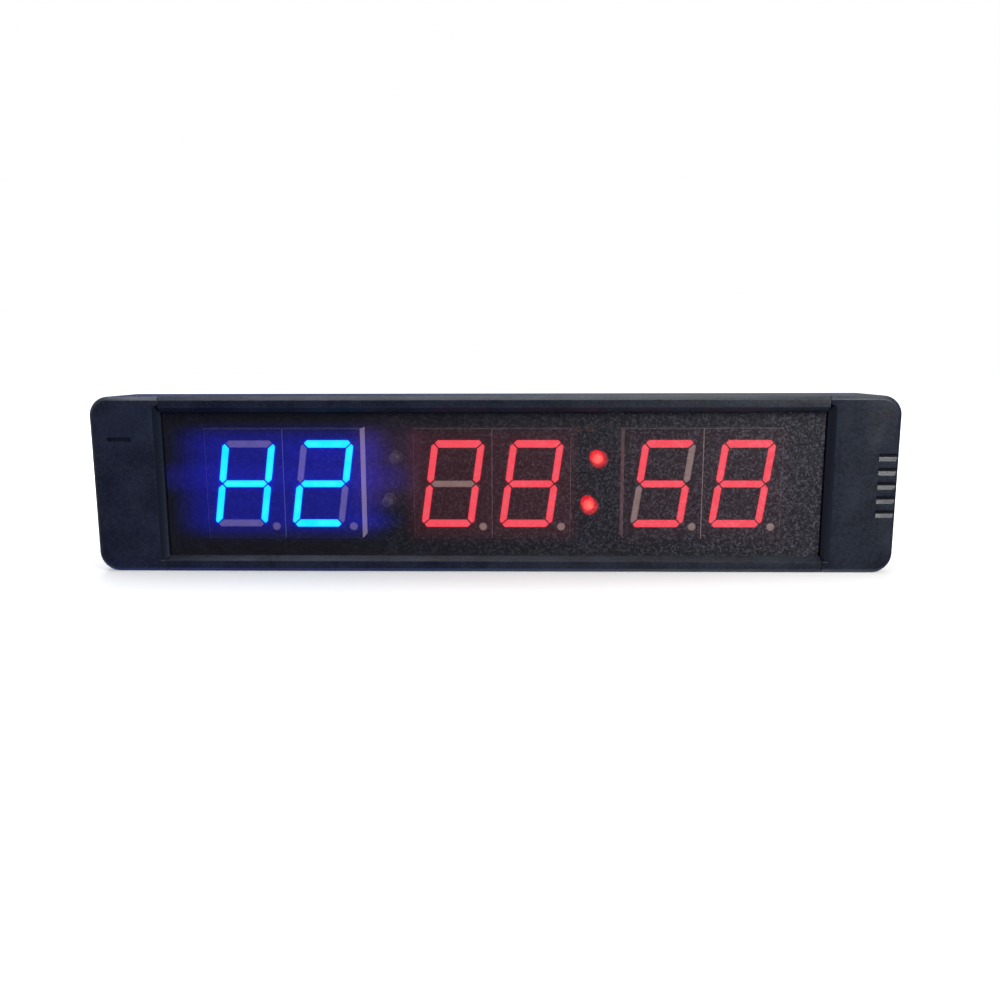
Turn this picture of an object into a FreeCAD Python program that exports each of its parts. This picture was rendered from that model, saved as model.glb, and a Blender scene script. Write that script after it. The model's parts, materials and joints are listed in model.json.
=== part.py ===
import FreeCAD, Part
import math
import os

# Gym round timer: a wide, low LED interval timer that stands on its base or hangs on a wall.
# Frame: X to the right seen from the front, Y towards the back, Z up.
# Origin: centre of the base. All sizes are in millimetres.

# ---- case -------------------------------------------------------------------------------------
CASE_W, CASE_D, CASE_H = 344.0, 32.0, 76.0
HALF_W, HALF_D = CASE_W / 2, CASE_D / 2
WALL = 2.5
CAP_LEN = 30.3                          # length of one end cap along X
SEAM_X = HALF_W - CAP_LEN               # where an end cap meets the centre housing
CORNER_R = 8.5                          # end caps' corners, seen from the front
FRONT_CHAMFER, REAR_FILLET = 1.7, 0.8   # around the front face and around the back
SEAM_GAP = 0.35                         # width and depth of the shadow gap at each seam

RAIL_H = 4.8                            # flat front rail above and below the window
BEVEL_H = 2.0                           # bevel from a rail down to the window
RECESS = 3.0                            # front face to the filter's face
BEVEL_DEPTH = 2.6
WINDOW_Z0, WINDOW_Z1 = RAIL_H + BEVEL_H, CASE_H - RAIL_H - BEVEL_H
CAP_BEVEL_W = 3.0                       # bevel on an end cap beside the window
CAP_BEVEL_RISE = 1.5                    # the bevel's upper end is cut off at a slant

# ---- filter, board and cover stack ------------------------------------------------------------
FRONT_Y = -HALF_D
FILTER_Y = FRONT_Y + RECESS
FILTER_T = 2.0
FILTER_W = 282.0
FILTER_BITE = 1.4                       # how far the filter reaches into each groove
SLACK = 0.1                             # play of a part in its groove
MARGIN = 1.0                            # how far a tool or a search reaches past the face it is for
LIP_BACK_Y = FILTER_Y + FILTER_T + 1.3
BOARD_Y, BOARD_T = 0.0, 1.6
BOARD_BACK_Y = BOARD_Y + BOARD_T
BOARD_HALF_L, BOARD_Z0, BOARD_Z1 = 141.0, 3.2, 72.8
TAB_END_X, TAB_Z0, TAB_Z1 = 168.0, 15.0, 61.0
LEDGE_T, LEDGE_Z = 4.0, 3.0             # ledge that the board rests against
POST_W = 3.5                            # posts behind the filter's ends join the top and bottom walls
TONGUE_REACH, TONGUE_T = 6.0, 2.0       # tongues of an end cap that lie along the housing's walls
TONGUE_Y0, TONGUE_Y1 = 2.6, 12.3
PASSAGE_Y0 = -2.0                       # opening in a cap's inner wall that the board passes through
COVER_T = 2.5
COVER_Y = HALF_D - COVER_T
COVER_GAP = 0.3

# ---- screws -----------------------------------------------------------------------------------
M3_SHANK_R, M3_PILOT_R, M3_CLEAR_R = 1.45, 1.5, 1.8
M3_HEAD_R, M3_HEAD_H, M3_SINK_R, M3_SINK_D = 2.8, 1.5, 3.2, 1.7
M3_LEN = 10.0
CAP_BOSS_X, CAP_BOSS_Z, BOSS_R = 162.0, 10.0, 3.5
MID_BOSS_X, MID_BOSS_Z, BOSS_NOTCH = 90.0, 7.0, 4.1     # the board is notched round these bosses
BOARD_SCREW_X, BOARD_SCREW_Z = (45.35, 131.0), 7.5
BOARD_BOSS_R, BOARD_BOSS_Y0 = 3.0, -6.0
M26_SHANK_R, M26_PILOT_R, M26_CLEAR_R, M26_HEAD_R, M26_HEAD_H = 1.2, 1.25, 1.5, 2.3, 1.4
M26_LEN, M26_PILOT_L = 6.5, 5.5
CROSS_L, CROSS_W, CROSS_D = 2.6, 0.6, 0.7

# ---- digits -----------------------------------------------------------------------------------
DIGIT_PITCH, PAIR_GAP = 34.0, 22.7
DIGIT_W, DIGIT_H, DIGIT_DEPTH = 34.0, 48.0, 10.5
DIGIT_Z = CASE_H / 2
FIGURE_W, FIGURE_H, SLANT_DEG = 23.0, 38.1, 8.0
BAR_H, BAR_V, BAR_MID = 3.35, 3.05, 3.05     # widths of level, upright and middle bars
BAR_GAP, FIGURE_CHAMFER, BAR_ROUND = 0.45, 2.6, 0.4
POINT_X, POINT_Z, POINT_R = 13.0, -18.8, 1.9
SHELL_WALL, CARRIER_T, CARRIER_INSET = 1.2, 1.2, 0.4
SHELL_CHAMFER = 0.2                     # around each shell's face
CARRIER_Y0 = BOARD_Y - CARRIER_INSET - CARRIER_T
CHIP, CHIP_SPREAD = 0.3, 4.0            # LED die, a cube; two dice stand this far from a bar's middle
GUIDE_Y0, GUIDE_Y1 = BOARD_Y - DIGIT_DEPTH, CARRIER_Y0 - CHIP
PIN_R, PIN_HOLE_R, PIN_TAIL = 0.25, 0.45, 2.5
PIN_PITCH, PIN_ROW_Z, PINS_PER_ROW = 2.54, 20.32, 5
ALL_BARS = "abcdefg"
LEVEL_BARS = "adg"
FIGURES = {1: "bcefg", 2: "abdeg", 3: "abcdef", 4: "abcdefg", 5: "acdfg", 6: "abcdefg"}

# ---- parts on the board's front ---------------------------------------------------------------
COLON_R, COLON_FLANGE_R, COLON_FLANGE_T = 2.5, 2.9, 1.0
COLON_TIP_Y = -10.5
COLON_PLACES = {
    "colon_led_upper_right": (45.7, 48.8),
    "colon_led_lower_right": (42.0, 28.5),
    "colon_led_upper_left": (-42.6, 48.9),
    "colon_led_lower_left": (-45.9, 29.7),
}
LEAD_HALF_PITCH = 1.27
IR_X, IR_Z, IR_W, IR_H, IR_Y0, IR_Y1 = 132.6, 27.0, 7.0, 8.0, -7.5, -4.5
IR_LENS_R, IR_LENS_UP, IR_LEAD_W, IR_LEAD_PITCH = 2.6, 0.8, 0.5, 2.54
FRONT_CAP_X, FRONT_CAP_Z = (37.2, 42.4), 61.0
FRONT_CAP_W, FRONT_CAP_H, FRONT_CAP_T = 3.4, 2.2, 1.3
BUZZER_X, BUZZER_Z, BUZZER_R, BUZZER_H = 156.8, 38.0, 10.5, 9.5
BUZZER_RIM_R, BUZZER_HOLE_R, BUZZER_HOLE_D = 0.8, 1.5, 4.0

# ---- grooves and slot in the end caps ---------------------------------------------------------
GROOVES, GROOVE_PITCH, GROOVE_H, GROOVE_MID_Z = 5, 6.05, 3.2, 38.0
GROOVE_X0, GROOVE_X1 = 163.1, 171.3
GROOVE_D, GROOVE_END = 1.0, 0.4         # depth of a blind groove, and width of its sloping inner end
SLOT_X0, SLOT_X1, SLOT_Z, SLOT_H, SLOT_DEPTH = -164.5, -154.1, 57.6, 2.0, 1.6

# ---- controls and socket on the back ----------------------------------------------------------
CONTROL_Z = 28.0
JACK_X, JACK_BODY, JACK_COLLAR_R, JACK_COLLAR_GAP = -26.0, 9.0, 4.0, 0.4
JACK_BORE_R, JACK_BORE_L, JACK_PIN_R, JACK_PIN_SET = 2.85, 9.5, 1.05, 1.0
JACK_MOUTH_Y, JACK_BODY_Y1 = 15.5, 13.0
SWITCH_X, SWITCH_L, SWITCH_W, SWITCH_H = -6.0, 12.7, 6.6, 5.5
SWITCH_LID, SWITCH_CAVITY_L, SWITCH_CAVITY_W, SWITCH_FLOOR = 0.6, 10.0, 4.6, 2.0
SWITCH_TRAVEL, SWITCH_SLOT_H = 2.0, 2.5
SLIDER_FOOT_L, SLIDER_FOOT_W, SLIDER_PLAY = 6.0, 3.8, 0.3
HANDLE_L, HANDLE_W, HANDLE_ROUND, HANDLE_PLAY = 3.0, 1.9, 0.4, 0.8
SWITCH_WINDOW_H, SWITCH_WINDOW_PLAY = 2.8, 1.2
SWITCH_DISH_W, SWITCH_DISH_H, SWITCH_DISH_D = 13.0, 8.0, 1.2
BUTTON_X = {"mode": 13.0, "up": 24.0, "down": 35.0}
BUTTON_R, BUTTON_HOLE_R, BUTTON_FLANGE_R, BUTTON_STEM_R = 3.0, 3.25, 3.9, 1.6
BUTTON_ROUND, BUTTON_FLANGE_Y0, BUTTON_FLANGE_Y1 = 0.5, 11.9, 13.2
CONTROL_OUT_Y = 15.6                    # how far controls reach back, short of the wall
TACT_SIDE, TACT_H, TACT_FLOOR = 6.0, 3.5, 1.4
PLUNGER_R, PLUNGER_BORE_R, PLUNGER_FOOT, PLUNGER_TOP = 1.7, 1.8, 2.4, 5.0

# ---- parts on the board's back: x, z, width, height, all behind the digits ---------------------
DRIVERS = [(-90.7, 38.0, 17.9, 7.5), (14.0, 47.0, 17.9, 7.5), (90.7, 38.0, 17.9, 7.5)]
MICROCONTROLLER = (-10.0, 46.0, 10.0, 10.0)
CLOCK_CHIP = (48.0, 40.0, 10.3, 7.5)
CRYSTAL = (-26.0, 46.0, 11.0, 4.6)
REGULATOR = (-52.0, 46.0, 6.5, 6.0)
WIDE_CHIP_T, FLAT_CHIP_T, CRYSTAL_T, CHIP_STANDOFF = 2.3, 1.4, 3.5, 0.1
WIDE_LEADS, WIDE_PITCH, CLOCK_LEADS, FLAT_LEADS, FLAT_PITCH = 14, 1.27, 8, 11, 0.8
CHIP_LEAD_W, CHIP_LEAD_L, CHIP_LEAD_H = 0.4, 1.0, 0.9
CELL_X, CELL_Z, CELL_R, CELL_T = 70.0, 36.0, 6.25, 2.0
TRAY_W, TRAY_H, TRAY_T, TRAY_FLOOR, TRAY_PLAY = 16.0, 14.5, 3.6, 0.8, 0.2
CAN_PLACES, CAN_R, CAN_H = ((-66.0, 26.0), (-66.0, 36.0), (-56.0, 24.0)), 3.15, 8.0
CAN_BASE_SIDE, CAN_BASE_T = 6.6, 0.8
RESISTORS_PER_ROW, RESISTOR_PITCH, RESISTOR_DROP = 8, 2.6, 9.0
RESISTOR_W, RESISTOR_H, RESISTOR_T = 1.25, 2.0, 0.55

# ---- wall keyholes and vents ------------------------------------------------------------------
KEYHOLE_X, KEYHOLE_Z, KEYHOLE_R, KEYHOLE_SLOT_R, KEYHOLE_RISE = 100.0, 50.0, 4.5, 2.2, 9.0
VENT_X, VENT_COUNT, VENT_PITCH, VENT_W, VENT_L, VENT_Z = 60.0, 6, 5.0, 2.0, 14.0, 58.0

V = FreeCAD.Vector


# ---- small helpers ----------------------------------------------------------------------------
def block(x0, x1, y0, y1, z0, z1):
    """Box between two corners."""
    return Part.makeBox(x1 - x0, y1 - y0, z1 - z0, V(x0, y0, z0))


def centred(x, z, w, h, y0, y1):
    """Box centred on x, z, of width w and height h."""
    return block(x - w / 2, x + w / 2, y0, y1, z - h / 2, z + h / 2)


def rod(x, z, r, y0, y1):
    """Cylinder along Y."""
    return Part.makeCylinder(r, y1 - y0, V(x, y0, z), V(0, 1, 0))


def prism(points, along):
    """Straight prism of a closed outline, swept by a vector."""
    return Part.Face(Part.makePolygon(points + points[:1])).extrude(along)


def prism_y(outline, y0, y1):
    """Prism of an (x, z) outline."""
    return prism([V(x, y0, z) for x, z in outline], V(0, y1 - y0, 0))


def prism_x(outline, x0, x1):
    """Prism of a (y, z) outline."""
    return prism([V(x0, y, z) for y, z in outline], V(x1 - x0, 0, 0))


def prism_z(outline, z0, z1):
    """Prism of an (x, y) outline."""
    return prism([V(x, y, z0) for x, y in outline], V(0, 0, z1 - z0))


def union(shapes):
    return shapes[0].multiFuse(shapes[1:]).removeSplitter() if len(shapes) > 1 else shapes[0]


def cut_all(shape, tools):
    return shape.cut(Part.makeCompound(tools)) if tools else shape


def edges_along(shape, axis, test=lambda p: True):
    """Straight edges parallel to an axis whose middle passes the test."""
    found = []
    for edge in shape.Edges:
        if len(edge.Vertexes) == 2:
            step = edge.Vertexes[1].Point - edge.Vertexes[0].Point
            if step.Length > 0 and abs(abs(step.normalize().dot(axis)) - 1) < 1e-6:
                if test(edge.CenterOfMass):
                    found.append(edge)
    return found


def mirrored(shape):
    """Mirror image across the middle plane, X to -X."""
    return shape.mirror(V(0, 0, 0), V(1, 0, 0))


def flipped_x(outline):
    return [(-x, z) for x, z in reversed(outline)]


def flipped_z(outline):
    return [(x, -z) for x, z in reversed(outline)]


def edges_at_y(shape, y):
    """Edges whose middle lies at a given Y."""
    return [e for e in shape.Edges if abs(e.CenterOfMass.y - y) < 1e-6]


def both_z(z):
    """The same height counted from the base and from the top."""
    return (z, CASE_H - z)


def rounded_plate(x0, x1, y0, y1, z0, z1, r):
    """Plate with its four corners rounded, seen along Y."""
    plate = block(x0, x1, y0, y1, z0, z1)
    return plate.makeFillet(r, edges_along(plate, V(0, 1, 0)))


# ---- casing -----------------------------------------------------------------------------------
def mid_bosses(r, y0, y1):
    """Cylinders at the four places where the cover screws to the centre housing."""
    return [rod(x, z, r, y0, y1) for x in (-MID_BOSS_X, MID_BOSS_X) for z in both_z(MID_BOSS_Z)]


def board_bosses(r, y0, y1):
    """Cylinders at the eight places where the board is screwed down."""
    xs = [side * x for x in BOARD_SCREW_X for side in (-1, 1)]
    return [rod(x, z, r, y0, y1) for x in xs for z in both_z(BOARD_SCREW_Z)]


def make_centre_housing():
    """Moulded frame: top and bottom walls with the front rails, joined by a post at each end."""
    shell = block(-SEAM_X, SEAM_X, FRONT_Y, HALF_D, 0, CASE_H)
    shell = shell.makeChamfer(FRONT_CHAMFER, edges_along(shell, V(1, 0, 0), lambda p: p.y < 0))
    shell = shell.makeFillet(REAR_FILLET, edges_along(shell, V(1, 0, 0), lambda p: p.y > HALF_D - 0.1))
    inside = block(-SEAM_X, SEAM_X, LIP_BACK_Y, HALF_D, WALL, CASE_H - WALL)
    window = block(-SEAM_X, SEAM_X, FRONT_Y, LIP_BACK_Y, WINDOW_Z0, WINDOW_Z1)
    groove = block(-SEAM_X, SEAM_X, FILTER_Y - SLACK / 2, FILTER_Y + FILTER_T + SLACK / 2,
                   WINDOW_Z0 - FILTER_BITE - SLACK, WINDOW_Z1 + FILTER_BITE + SLACK)
    bevels = []
    for sign, edge in ((1, 0), (-1, CASE_H)):
        foot, head = edge + sign * RAIL_H, edge + sign * (RAIL_H + BEVEL_H)
        outline = [(FRONT_Y, foot), (FRONT_Y + BEVEL_DEPTH, head), (FRONT_Y, head)]
        bevels.append(prism_x(outline, -SEAM_X, SEAM_X))
    shell = cut_all(shell, [inside, window, groove] + bevels)
    ledges = [block(-SEAM_X, SEAM_X, BOARD_Y - LEDGE_T, BOARD_Y, WALL, WALL + LEDGE_Z),
              block(-SEAM_X, SEAM_X, BOARD_Y - LEDGE_T, BOARD_Y, CASE_H - WALL - LEDGE_Z, CASE_H - WALL)]
    posts = [block(-SEAM_X, -SEAM_X + POST_W, LIP_BACK_Y, BOARD_Y, WALL, CASE_H - WALL),
             block(SEAM_X - POST_W, SEAM_X, LIP_BACK_Y, BOARD_Y, WALL, CASE_H - WALL)]
    cover_bosses = mid_bosses(BOSS_R, BOARD_Y - LEDGE_T, COVER_Y)
    screw_bosses = board_bosses(BOARD_BOSS_R, BOARD_BOSS_Y0, BOARD_Y)
    shell = union([shell] + ledges + posts + cover_bosses + screw_bosses)
    pilots = mid_bosses(M3_PILOT_R, COVER_Y - M3_LEN, COVER_Y)
    pilots += board_bosses(M26_PILOT_R, BOARD_Y - M26_PILOT_L, BOARD_Y)
    return cut_all(shell, pilots)


def cap_blank():
    """Right end cap before its openings: a shell open at the back, with a wall beside the window."""
    shell = block(SEAM_X, HALF_W, FRONT_Y, HALF_D, 0, CASE_H)
    shell = shell.makeFillet(CORNER_R, edges_along(shell, V(0, 1, 0), lambda p: p.x > HALF_W - MARGIN))
    outer = [e for e in edges_at_y(shell, FRONT_Y) if e.CenterOfMass.x > SEAM_X + MARGIN]
    shell = shell.makeChamfer(FRONT_CHAMFER, outer)
    outer = [e for e in edges_at_y(shell, HALF_D) if e.CenterOfMass.x > SEAM_X + MARGIN]
    shell = shell.makeFillet(REAR_FILLET, outer)
    inside = block(SEAM_X + WALL, HALF_W - WALL, FRONT_Y + WALL, HALF_D, WALL, CASE_H - WALL)
    inner_corners = edges_along(inside, V(0, 1, 0), lambda p: p.x > HALF_W - WALL - MARGIN)
    inside = inside.makeFillet(CORNER_R - WALL, inner_corners)
    passage = block(SEAM_X, SEAM_X + WALL, PASSAGE_Y0, HALF_D, WALL, CASE_H - WALL)
    bevel = prism_z([(SEAM_X, FRONT_Y), (SEAM_X + CAP_BEVEL_W, FRONT_Y), (SEAM_X, FRONT_Y + BEVEL_DEPTH)],
                    RAIL_H, CASE_H)
    slant = prism_y([(SEAM_X, RAIL_H), (SEAM_X + CAP_BEVEL_W, RAIL_H),
                     (SEAM_X + CAP_BEVEL_W, CASE_H - RAIL_H),
                     (SEAM_X, CASE_H - RAIL_H + CAP_BEVEL_RISE)], FRONT_Y, FILTER_Y)
    ring = block(SEAM_X, SEAM_X + SEAM_GAP, FRONT_Y, HALF_D, 0, CASE_H)
    core = block(SEAM_X, SEAM_X + SEAM_GAP, FRONT_Y + SEAM_GAP, HALF_D - SEAM_GAP,
                 SEAM_GAP, CASE_H - SEAM_GAP)
    inset_chamfer = FRONT_CHAMFER - SEAM_GAP * (2 - math.sqrt(2))
    core = core.makeChamfer(inset_chamfer, edges_along(core, V(1, 0, 0), lambda p: p.y < 0))
    shell = cut_all(shell, [inside, passage, bevel.common(slant), ring.cut(core)])
    bosses = [rod(CAP_BOSS_X, z, BOSS_R, FRONT_Y + WALL, COVER_Y) for z in both_z(CAP_BOSS_Z)]
    tongues = [block(SEAM_X - TONGUE_REACH, SEAM_X + WALL + MARGIN, TONGUE_Y0, TONGUE_Y1, z0, z0 + TONGUE_T)
               for z0 in (WALL, CASE_H - WALL - TONGUE_T)]
    shell = union([shell] + bosses + tongues)
    pilots = [rod(CAP_BOSS_X, z, M3_PILOT_R, COVER_Y - M3_LEN, COVER_Y) for z in both_z(CAP_BOSS_Z)]
    return cut_all(shell, pilots)


def groove(mid_z):
    """Tool for one blind groove: a flat floor above a lip that slopes in from below."""
    low, high = mid_z - GROOVE_H / 2, mid_z + GROOVE_H / 2
    floor_y = FRONT_Y + GROOVE_D
    section = [(FRONT_Y, low), (floor_y, mid_z), (floor_y, high), (FRONT_Y, high)]
    plan = [(GROOVE_X0, FRONT_Y), (GROOVE_X1, FRONT_Y), (GROOVE_X1, floor_y),
            (GROOVE_X0 + GROOVE_END, floor_y)]
    return prism_x(section, GROOVE_X0, GROOVE_X1).common(prism_z(plan, low, high))


def make_end_cap_right():
    first = GROOVE_MID_Z - GROOVE_PITCH * (GROOVES - 1) / 2
    return cut_all(cap_blank(), [groove(first + i * GROOVE_PITCH) for i in range(GROOVES)])


def make_end_cap_left():
    slot = block(SLOT_X0, SLOT_X1, FRONT_Y, FRONT_Y + SLOT_DEPTH, SLOT_Z - SLOT_H / 2, SLOT_Z + SLOT_H / 2)
    return mirrored(cap_blank()).cut(slot)


def make_front_filter():
    """Tinted acrylic sheet that slides into the housing's grooves."""
    return block(-FILTER_W / 2, FILTER_W / 2, FILTER_Y, FILTER_Y + FILTER_T,
                 WINDOW_Z0 - FILTER_BITE, WINDOW_Z1 + FILTER_BITE)


def keyhole(x):
    """Tool for one keyhole: a round hole for a screw head with a slot above it."""
    slot = centred(x, KEYHOLE_Z + KEYHOLE_RISE / 2, 2 * KEYHOLE_SLOT_R, KEYHOLE_RISE, COVER_Y, HALF_D)
    return union([rod(x, KEYHOLE_Z, KEYHOLE_R, COVER_Y, HALF_D), slot,
                  rod(x, KEYHOLE_Z + KEYHOLE_RISE, KEYHOLE_SLOT_R, COVER_Y, HALF_D)])


def vent_slots(x):
    """Tools for one group of upright round-ended vent slots."""
    first = x - VENT_PITCH * (VENT_COUNT - 1) / 2
    half = (VENT_L - VENT_W) / 2
    slots = []
    for i in range(VENT_COUNT):
        at = first + i * VENT_PITCH
        slots.append(union([centred(at, VENT_Z, VENT_W, 2 * half, COVER_Y, HALF_D),
                            rod(at, VENT_Z - half, VENT_W / 2, COVER_Y, HALF_D),
                            rod(at, VENT_Z + half, VENT_W / 2, COVER_Y, HALF_D)]))
    return slots


def cover_screw_places():
    bosses = ((CAP_BOSS_X, CAP_BOSS_Z), (MID_BOSS_X, MID_BOSS_Z))
    return [(side * x, z) for side in (-1, 1) for x, low in bosses for z in both_z(low)]


def make_rear_cover():
    edge = WALL + COVER_GAP
    half_l = HALF_W - edge
    cover = rounded_plate(-half_l, half_l, COVER_Y, HALF_D, edge, CASE_H - edge, CORNER_R - edge)
    tools = [keyhole(-KEYHOLE_X), keyhole(KEYHOLE_X)] + vent_slots(-VENT_X) + vent_slots(VENT_X)
    for x, z in cover_screw_places():
        tools.append(rod(x, z, M3_CLEAR_R, COVER_Y, HALF_D))
        tools.append(rod(x, z, M3_SINK_R, HALF_D - M3_SINK_D, HALF_D))
    tools.append(rod(JACK_X, CONTROL_Z, JACK_COLLAR_R + JACK_COLLAR_GAP, COVER_Y, HALF_D))
    window_l = HANDLE_L + SWITCH_TRAVEL + SWITCH_WINDOW_PLAY
    tools.append(centred(SWITCH_X, CONTROL_Z, window_l, SWITCH_WINDOW_H, COVER_Y, HALF_D))
    tools.append(centred(SWITCH_X, CONTROL_Z, SWITCH_DISH_W, SWITCH_DISH_H, HALF_D - SWITCH_DISH_D, HALF_D))
    tools += [rod(x, CONTROL_Z, BUTTON_HOLE_R, COVER_Y, HALF_D) for x in BUTTON_X.values()]
    return cut_all(cover, tools)


# ---- screws -----------------------------------------------------------------------------------
def screw(x, z, seat_y, shank_r, length, head_r, head_h):
    """Pan-head screw driven towards the front, its head seated at seat_y, with a cross recess."""
    body = union([rod(x, z, head_r, seat_y, seat_y + head_h), rod(x, z, shank_r, seat_y - length, seat_y)])
    top = seat_y + head_h
    cross = [centred(x, z, w, h, top - CROSS_D, top) for w, h in ((CROSS_L, CROSS_W), (CROSS_W, CROSS_L))]
    return cut_all(body, [union(cross)])


def make_rear_cover_screws():
    seat = HALF_D - M3_SINK_D
    return [screw(x, z, seat, M3_SHANK_R, M3_LEN, M3_HEAD_R, M3_HEAD_H) for x, z in cover_screw_places()]


def make_board_screws():
    xs = [side * x for x in BOARD_SCREW_X for side in (-1, 1)]
    return [screw(x, z, BOARD_BACK_Y, M26_SHANK_R, M26_LEN, M26_HEAD_R, M26_HEAD_H)
            for x in xs for z in both_z(BOARD_SCREW_Z)]


# ---- digits -----------------------------------------------------------------------------------
def digit_centres():
    """X of the six digits: three pairs, with a wider gap between pairs."""
    pair_pitch = 2 * DIGIT_PITCH + PAIR_GAP
    return {2 * pair + half + 1: (pair - 1) * pair_pitch + (half - 0.5) * DIGIT_PITCH
            for pair in range(3) for half in range(2)}


def bar_outlines():
    """Outlines of the seven bars before the slant, keyed by their usual letters."""
    w, h = FIGURE_W / 2, FIGURE_H / 2
    step = BAR_GAP / math.sqrt(2)                     # how far a mitred end stands off its mitre line
    run = (BAR_H + BAR_V + step - FIGURE_CHAMFER) / 2  # mitre length, counted along X
    half_v, half_m = BAR_V / 2, BAR_MID / 2
    level = [(-w + BAR_V + step, h - BAR_H), (-w + BAR_V + step - run, h - BAR_H + run),
             (-w + FIGURE_CHAMFER, h), (w - FIGURE_CHAMFER, h),
             (w - BAR_V - step + run, h - BAR_H + run), (w - BAR_V - step, h - BAR_H)]
    upright = [(w - half_v, step), (w - BAR_V, step + half_v), (w - BAR_V, h - BAR_H - step),
               (w - BAR_V + run, h - BAR_H - step + run), (w, h - FIGURE_CHAMFER), (w, step + half_v)]
    tip = w - half_v - step
    middle = [(-tip, 0), (-tip + half_m, half_m), (tip - half_m, half_m),
              (tip, 0), (tip - half_m, -half_m), (-tip + half_m, -half_m)]
    return {"a": level, "d": flipped_z(level), "g": middle, "b": upright, "f": flipped_x(upright),
            "c": flipped_z(upright), "e": flipped_z(flipped_x(upright))}


def bar_prism(letter, centre_x, y0, y1):
    """One bar of a figure as a prism with slightly rounded corners; the figure leans right."""
    lean = math.tan(math.radians(SLANT_DEG))
    outline = [(centre_x + x + z * lean, DIGIT_Z + z) for x, z in bar_outlines()[letter]]
    solid = prism_y(outline, y0, y1)
    return solid.makeFillet(BAR_ROUND, edges_along(solid, V(0, 1, 0)))


def point_prism(centre_x, y0, y1):
    """Decimal point at the lower right of a figure."""
    return rod(centre_x + POINT_X, DIGIT_Z + POINT_Z, POINT_R, y0, y1)


def make_digit(number, centre_x):
    """Shell, lit light guides and unlit light guides of one digit."""
    guides = {k: bar_prism(k, centre_x, GUIDE_Y0, GUIDE_Y1) for k in ALL_BARS}
    tools = [bar_prism(k, centre_x, GUIDE_Y0, CARRIER_Y0) for k in ALL_BARS]
    tools.append(point_prism(centre_x, GUIDE_Y0, CARRIER_Y0))
    inner_w, inner_h = DIGIT_W - 2 * SHELL_WALL, DIGIT_H - 2 * SHELL_WALL
    tools.append(centred(centre_x, DIGIT_Z, inner_w, inner_h, CARRIER_Y0, BOARD_Y))
    shell = centred(centre_x, DIGIT_Z, DIGIT_W, DIGIT_H, GUIDE_Y0, BOARD_Y)
    shell = cut_all(shell.makeChamfer(SHELL_CHAMFER, edges_at_y(shell, GUIDE_Y0)), tools)
    lit = [guides[k] for k in ALL_BARS if k in FIGURES[number]]
    unlit = [guides[k] for k in ALL_BARS if k not in FIGURES[number]]
    unlit.append(point_prism(centre_x, GUIDE_Y0, GUIDE_Y1))
    return shell, lit, unlit


def make_carriers():
    """Small board at the back of each digit that holds its LED dice and pins."""
    play = 2 * (SHELL_WALL + SLACK)
    return [centred(x, DIGIT_Z, DIGIT_W - play, DIGIT_H - play, CARRIER_Y0, CARRIER_Y0 + CARRIER_T)
            for x in digit_centres().values()]


def make_led_chips():
    """Two dice behind each bar and one behind each decimal point."""
    lean = math.tan(math.radians(SLANT_DEG))
    spots = [(POINT_X, POINT_Z)]
    for letter, outline in bar_outlines().items():
        mid_x = (max(x for x, z in outline) + min(x for x, z in outline)) / 2
        mid_z = (max(z for x, z in outline) + min(z for x, z in outline)) / 2
        away = (CHIP_SPREAD, 0.0) if letter in LEVEL_BARS else (0.0, CHIP_SPREAD)
        for side in (-1, 1):
            x, z = mid_x + side * away[0], mid_z + side * away[1]
            spots.append((x + z * lean, z))
    return [centred(cx + x, DIGIT_Z + z, CHIP, CHIP, GUIDE_Y1, CARRIER_Y0)
            for cx in digit_centres().values() for x, z in spots]


def pin_places():
    """Two rows of five pins on every digit."""
    first = -PIN_PITCH * (PINS_PER_ROW - 1) / 2
    return [(cx + first + i * PIN_PITCH, DIGIT_Z + side * PIN_ROW_Z)
            for cx in digit_centres().values() for i in range(PINS_PER_ROW) for side in (-1, 1)]


def lead_places():
    """Two leads on every colon LED."""
    return [(x + side * LEAD_HALF_PITCH, z) for x, z in COLON_PLACES.values() for side in (-1, 1)]


def ir_lead_x():
    return [IR_X + i * IR_LEAD_PITCH for i in (-1, 0, 1)]


# ---- board and the parts on it ----------------------------------------------------------------
def make_main_board():
    """Board with a narrower tab into each end cap, drilled for pins, leads and screws."""
    board = union([block(-BOARD_HALF_L, BOARD_HALF_L, BOARD_Y, BOARD_BACK_Y, BOARD_Z0, BOARD_Z1),
                   block(-TAB_END_X, TAB_END_X, BOARD_Y, BOARD_BACK_Y, TAB_Z0, TAB_Z1)])
    holes = [rod(x, z, PIN_HOLE_R, BOARD_Y, BOARD_BACK_Y) for x, z in pin_places() + lead_places()]
    holes += [rod(x, IR_Z, PIN_HOLE_R, BOARD_Y, BOARD_BACK_Y) for x in ir_lead_x()]
    holes += board_bosses(M26_CLEAR_R, BOARD_Y, BOARD_BACK_Y)
    for x in (-MID_BOSS_X, MID_BOSS_X):
        for z0, z1 in ((BOARD_Z0, MID_BOSS_Z + BOSS_NOTCH), (CASE_H - MID_BOSS_Z - BOSS_NOTCH, BOARD_Z1)):
            holes.append(block(x - BOSS_NOTCH, x + BOSS_NOTCH, BOARD_Y, BOARD_BACK_Y, z0, z1))
    return cut_all(board, holes)


def make_digit_pins():
    return [rod(x, z, PIN_R, BOARD_Y - CARRIER_INSET, BOARD_BACK_Y + PIN_TAIL) for x, z in pin_places()]


def make_colon_led(x, z):
    """Round 5 mm LED: a domed lens with a flange that sits on the board."""
    dome_y = COLON_TIP_Y + COLON_R
    return union([Part.makeSphere(COLON_R, V(x, dome_y, z)), rod(x, z, COLON_R, dome_y, BOARD_Y),
                  rod(x, z, COLON_FLANGE_R, BOARD_Y - COLON_FLANGE_T, BOARD_Y)])


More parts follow.
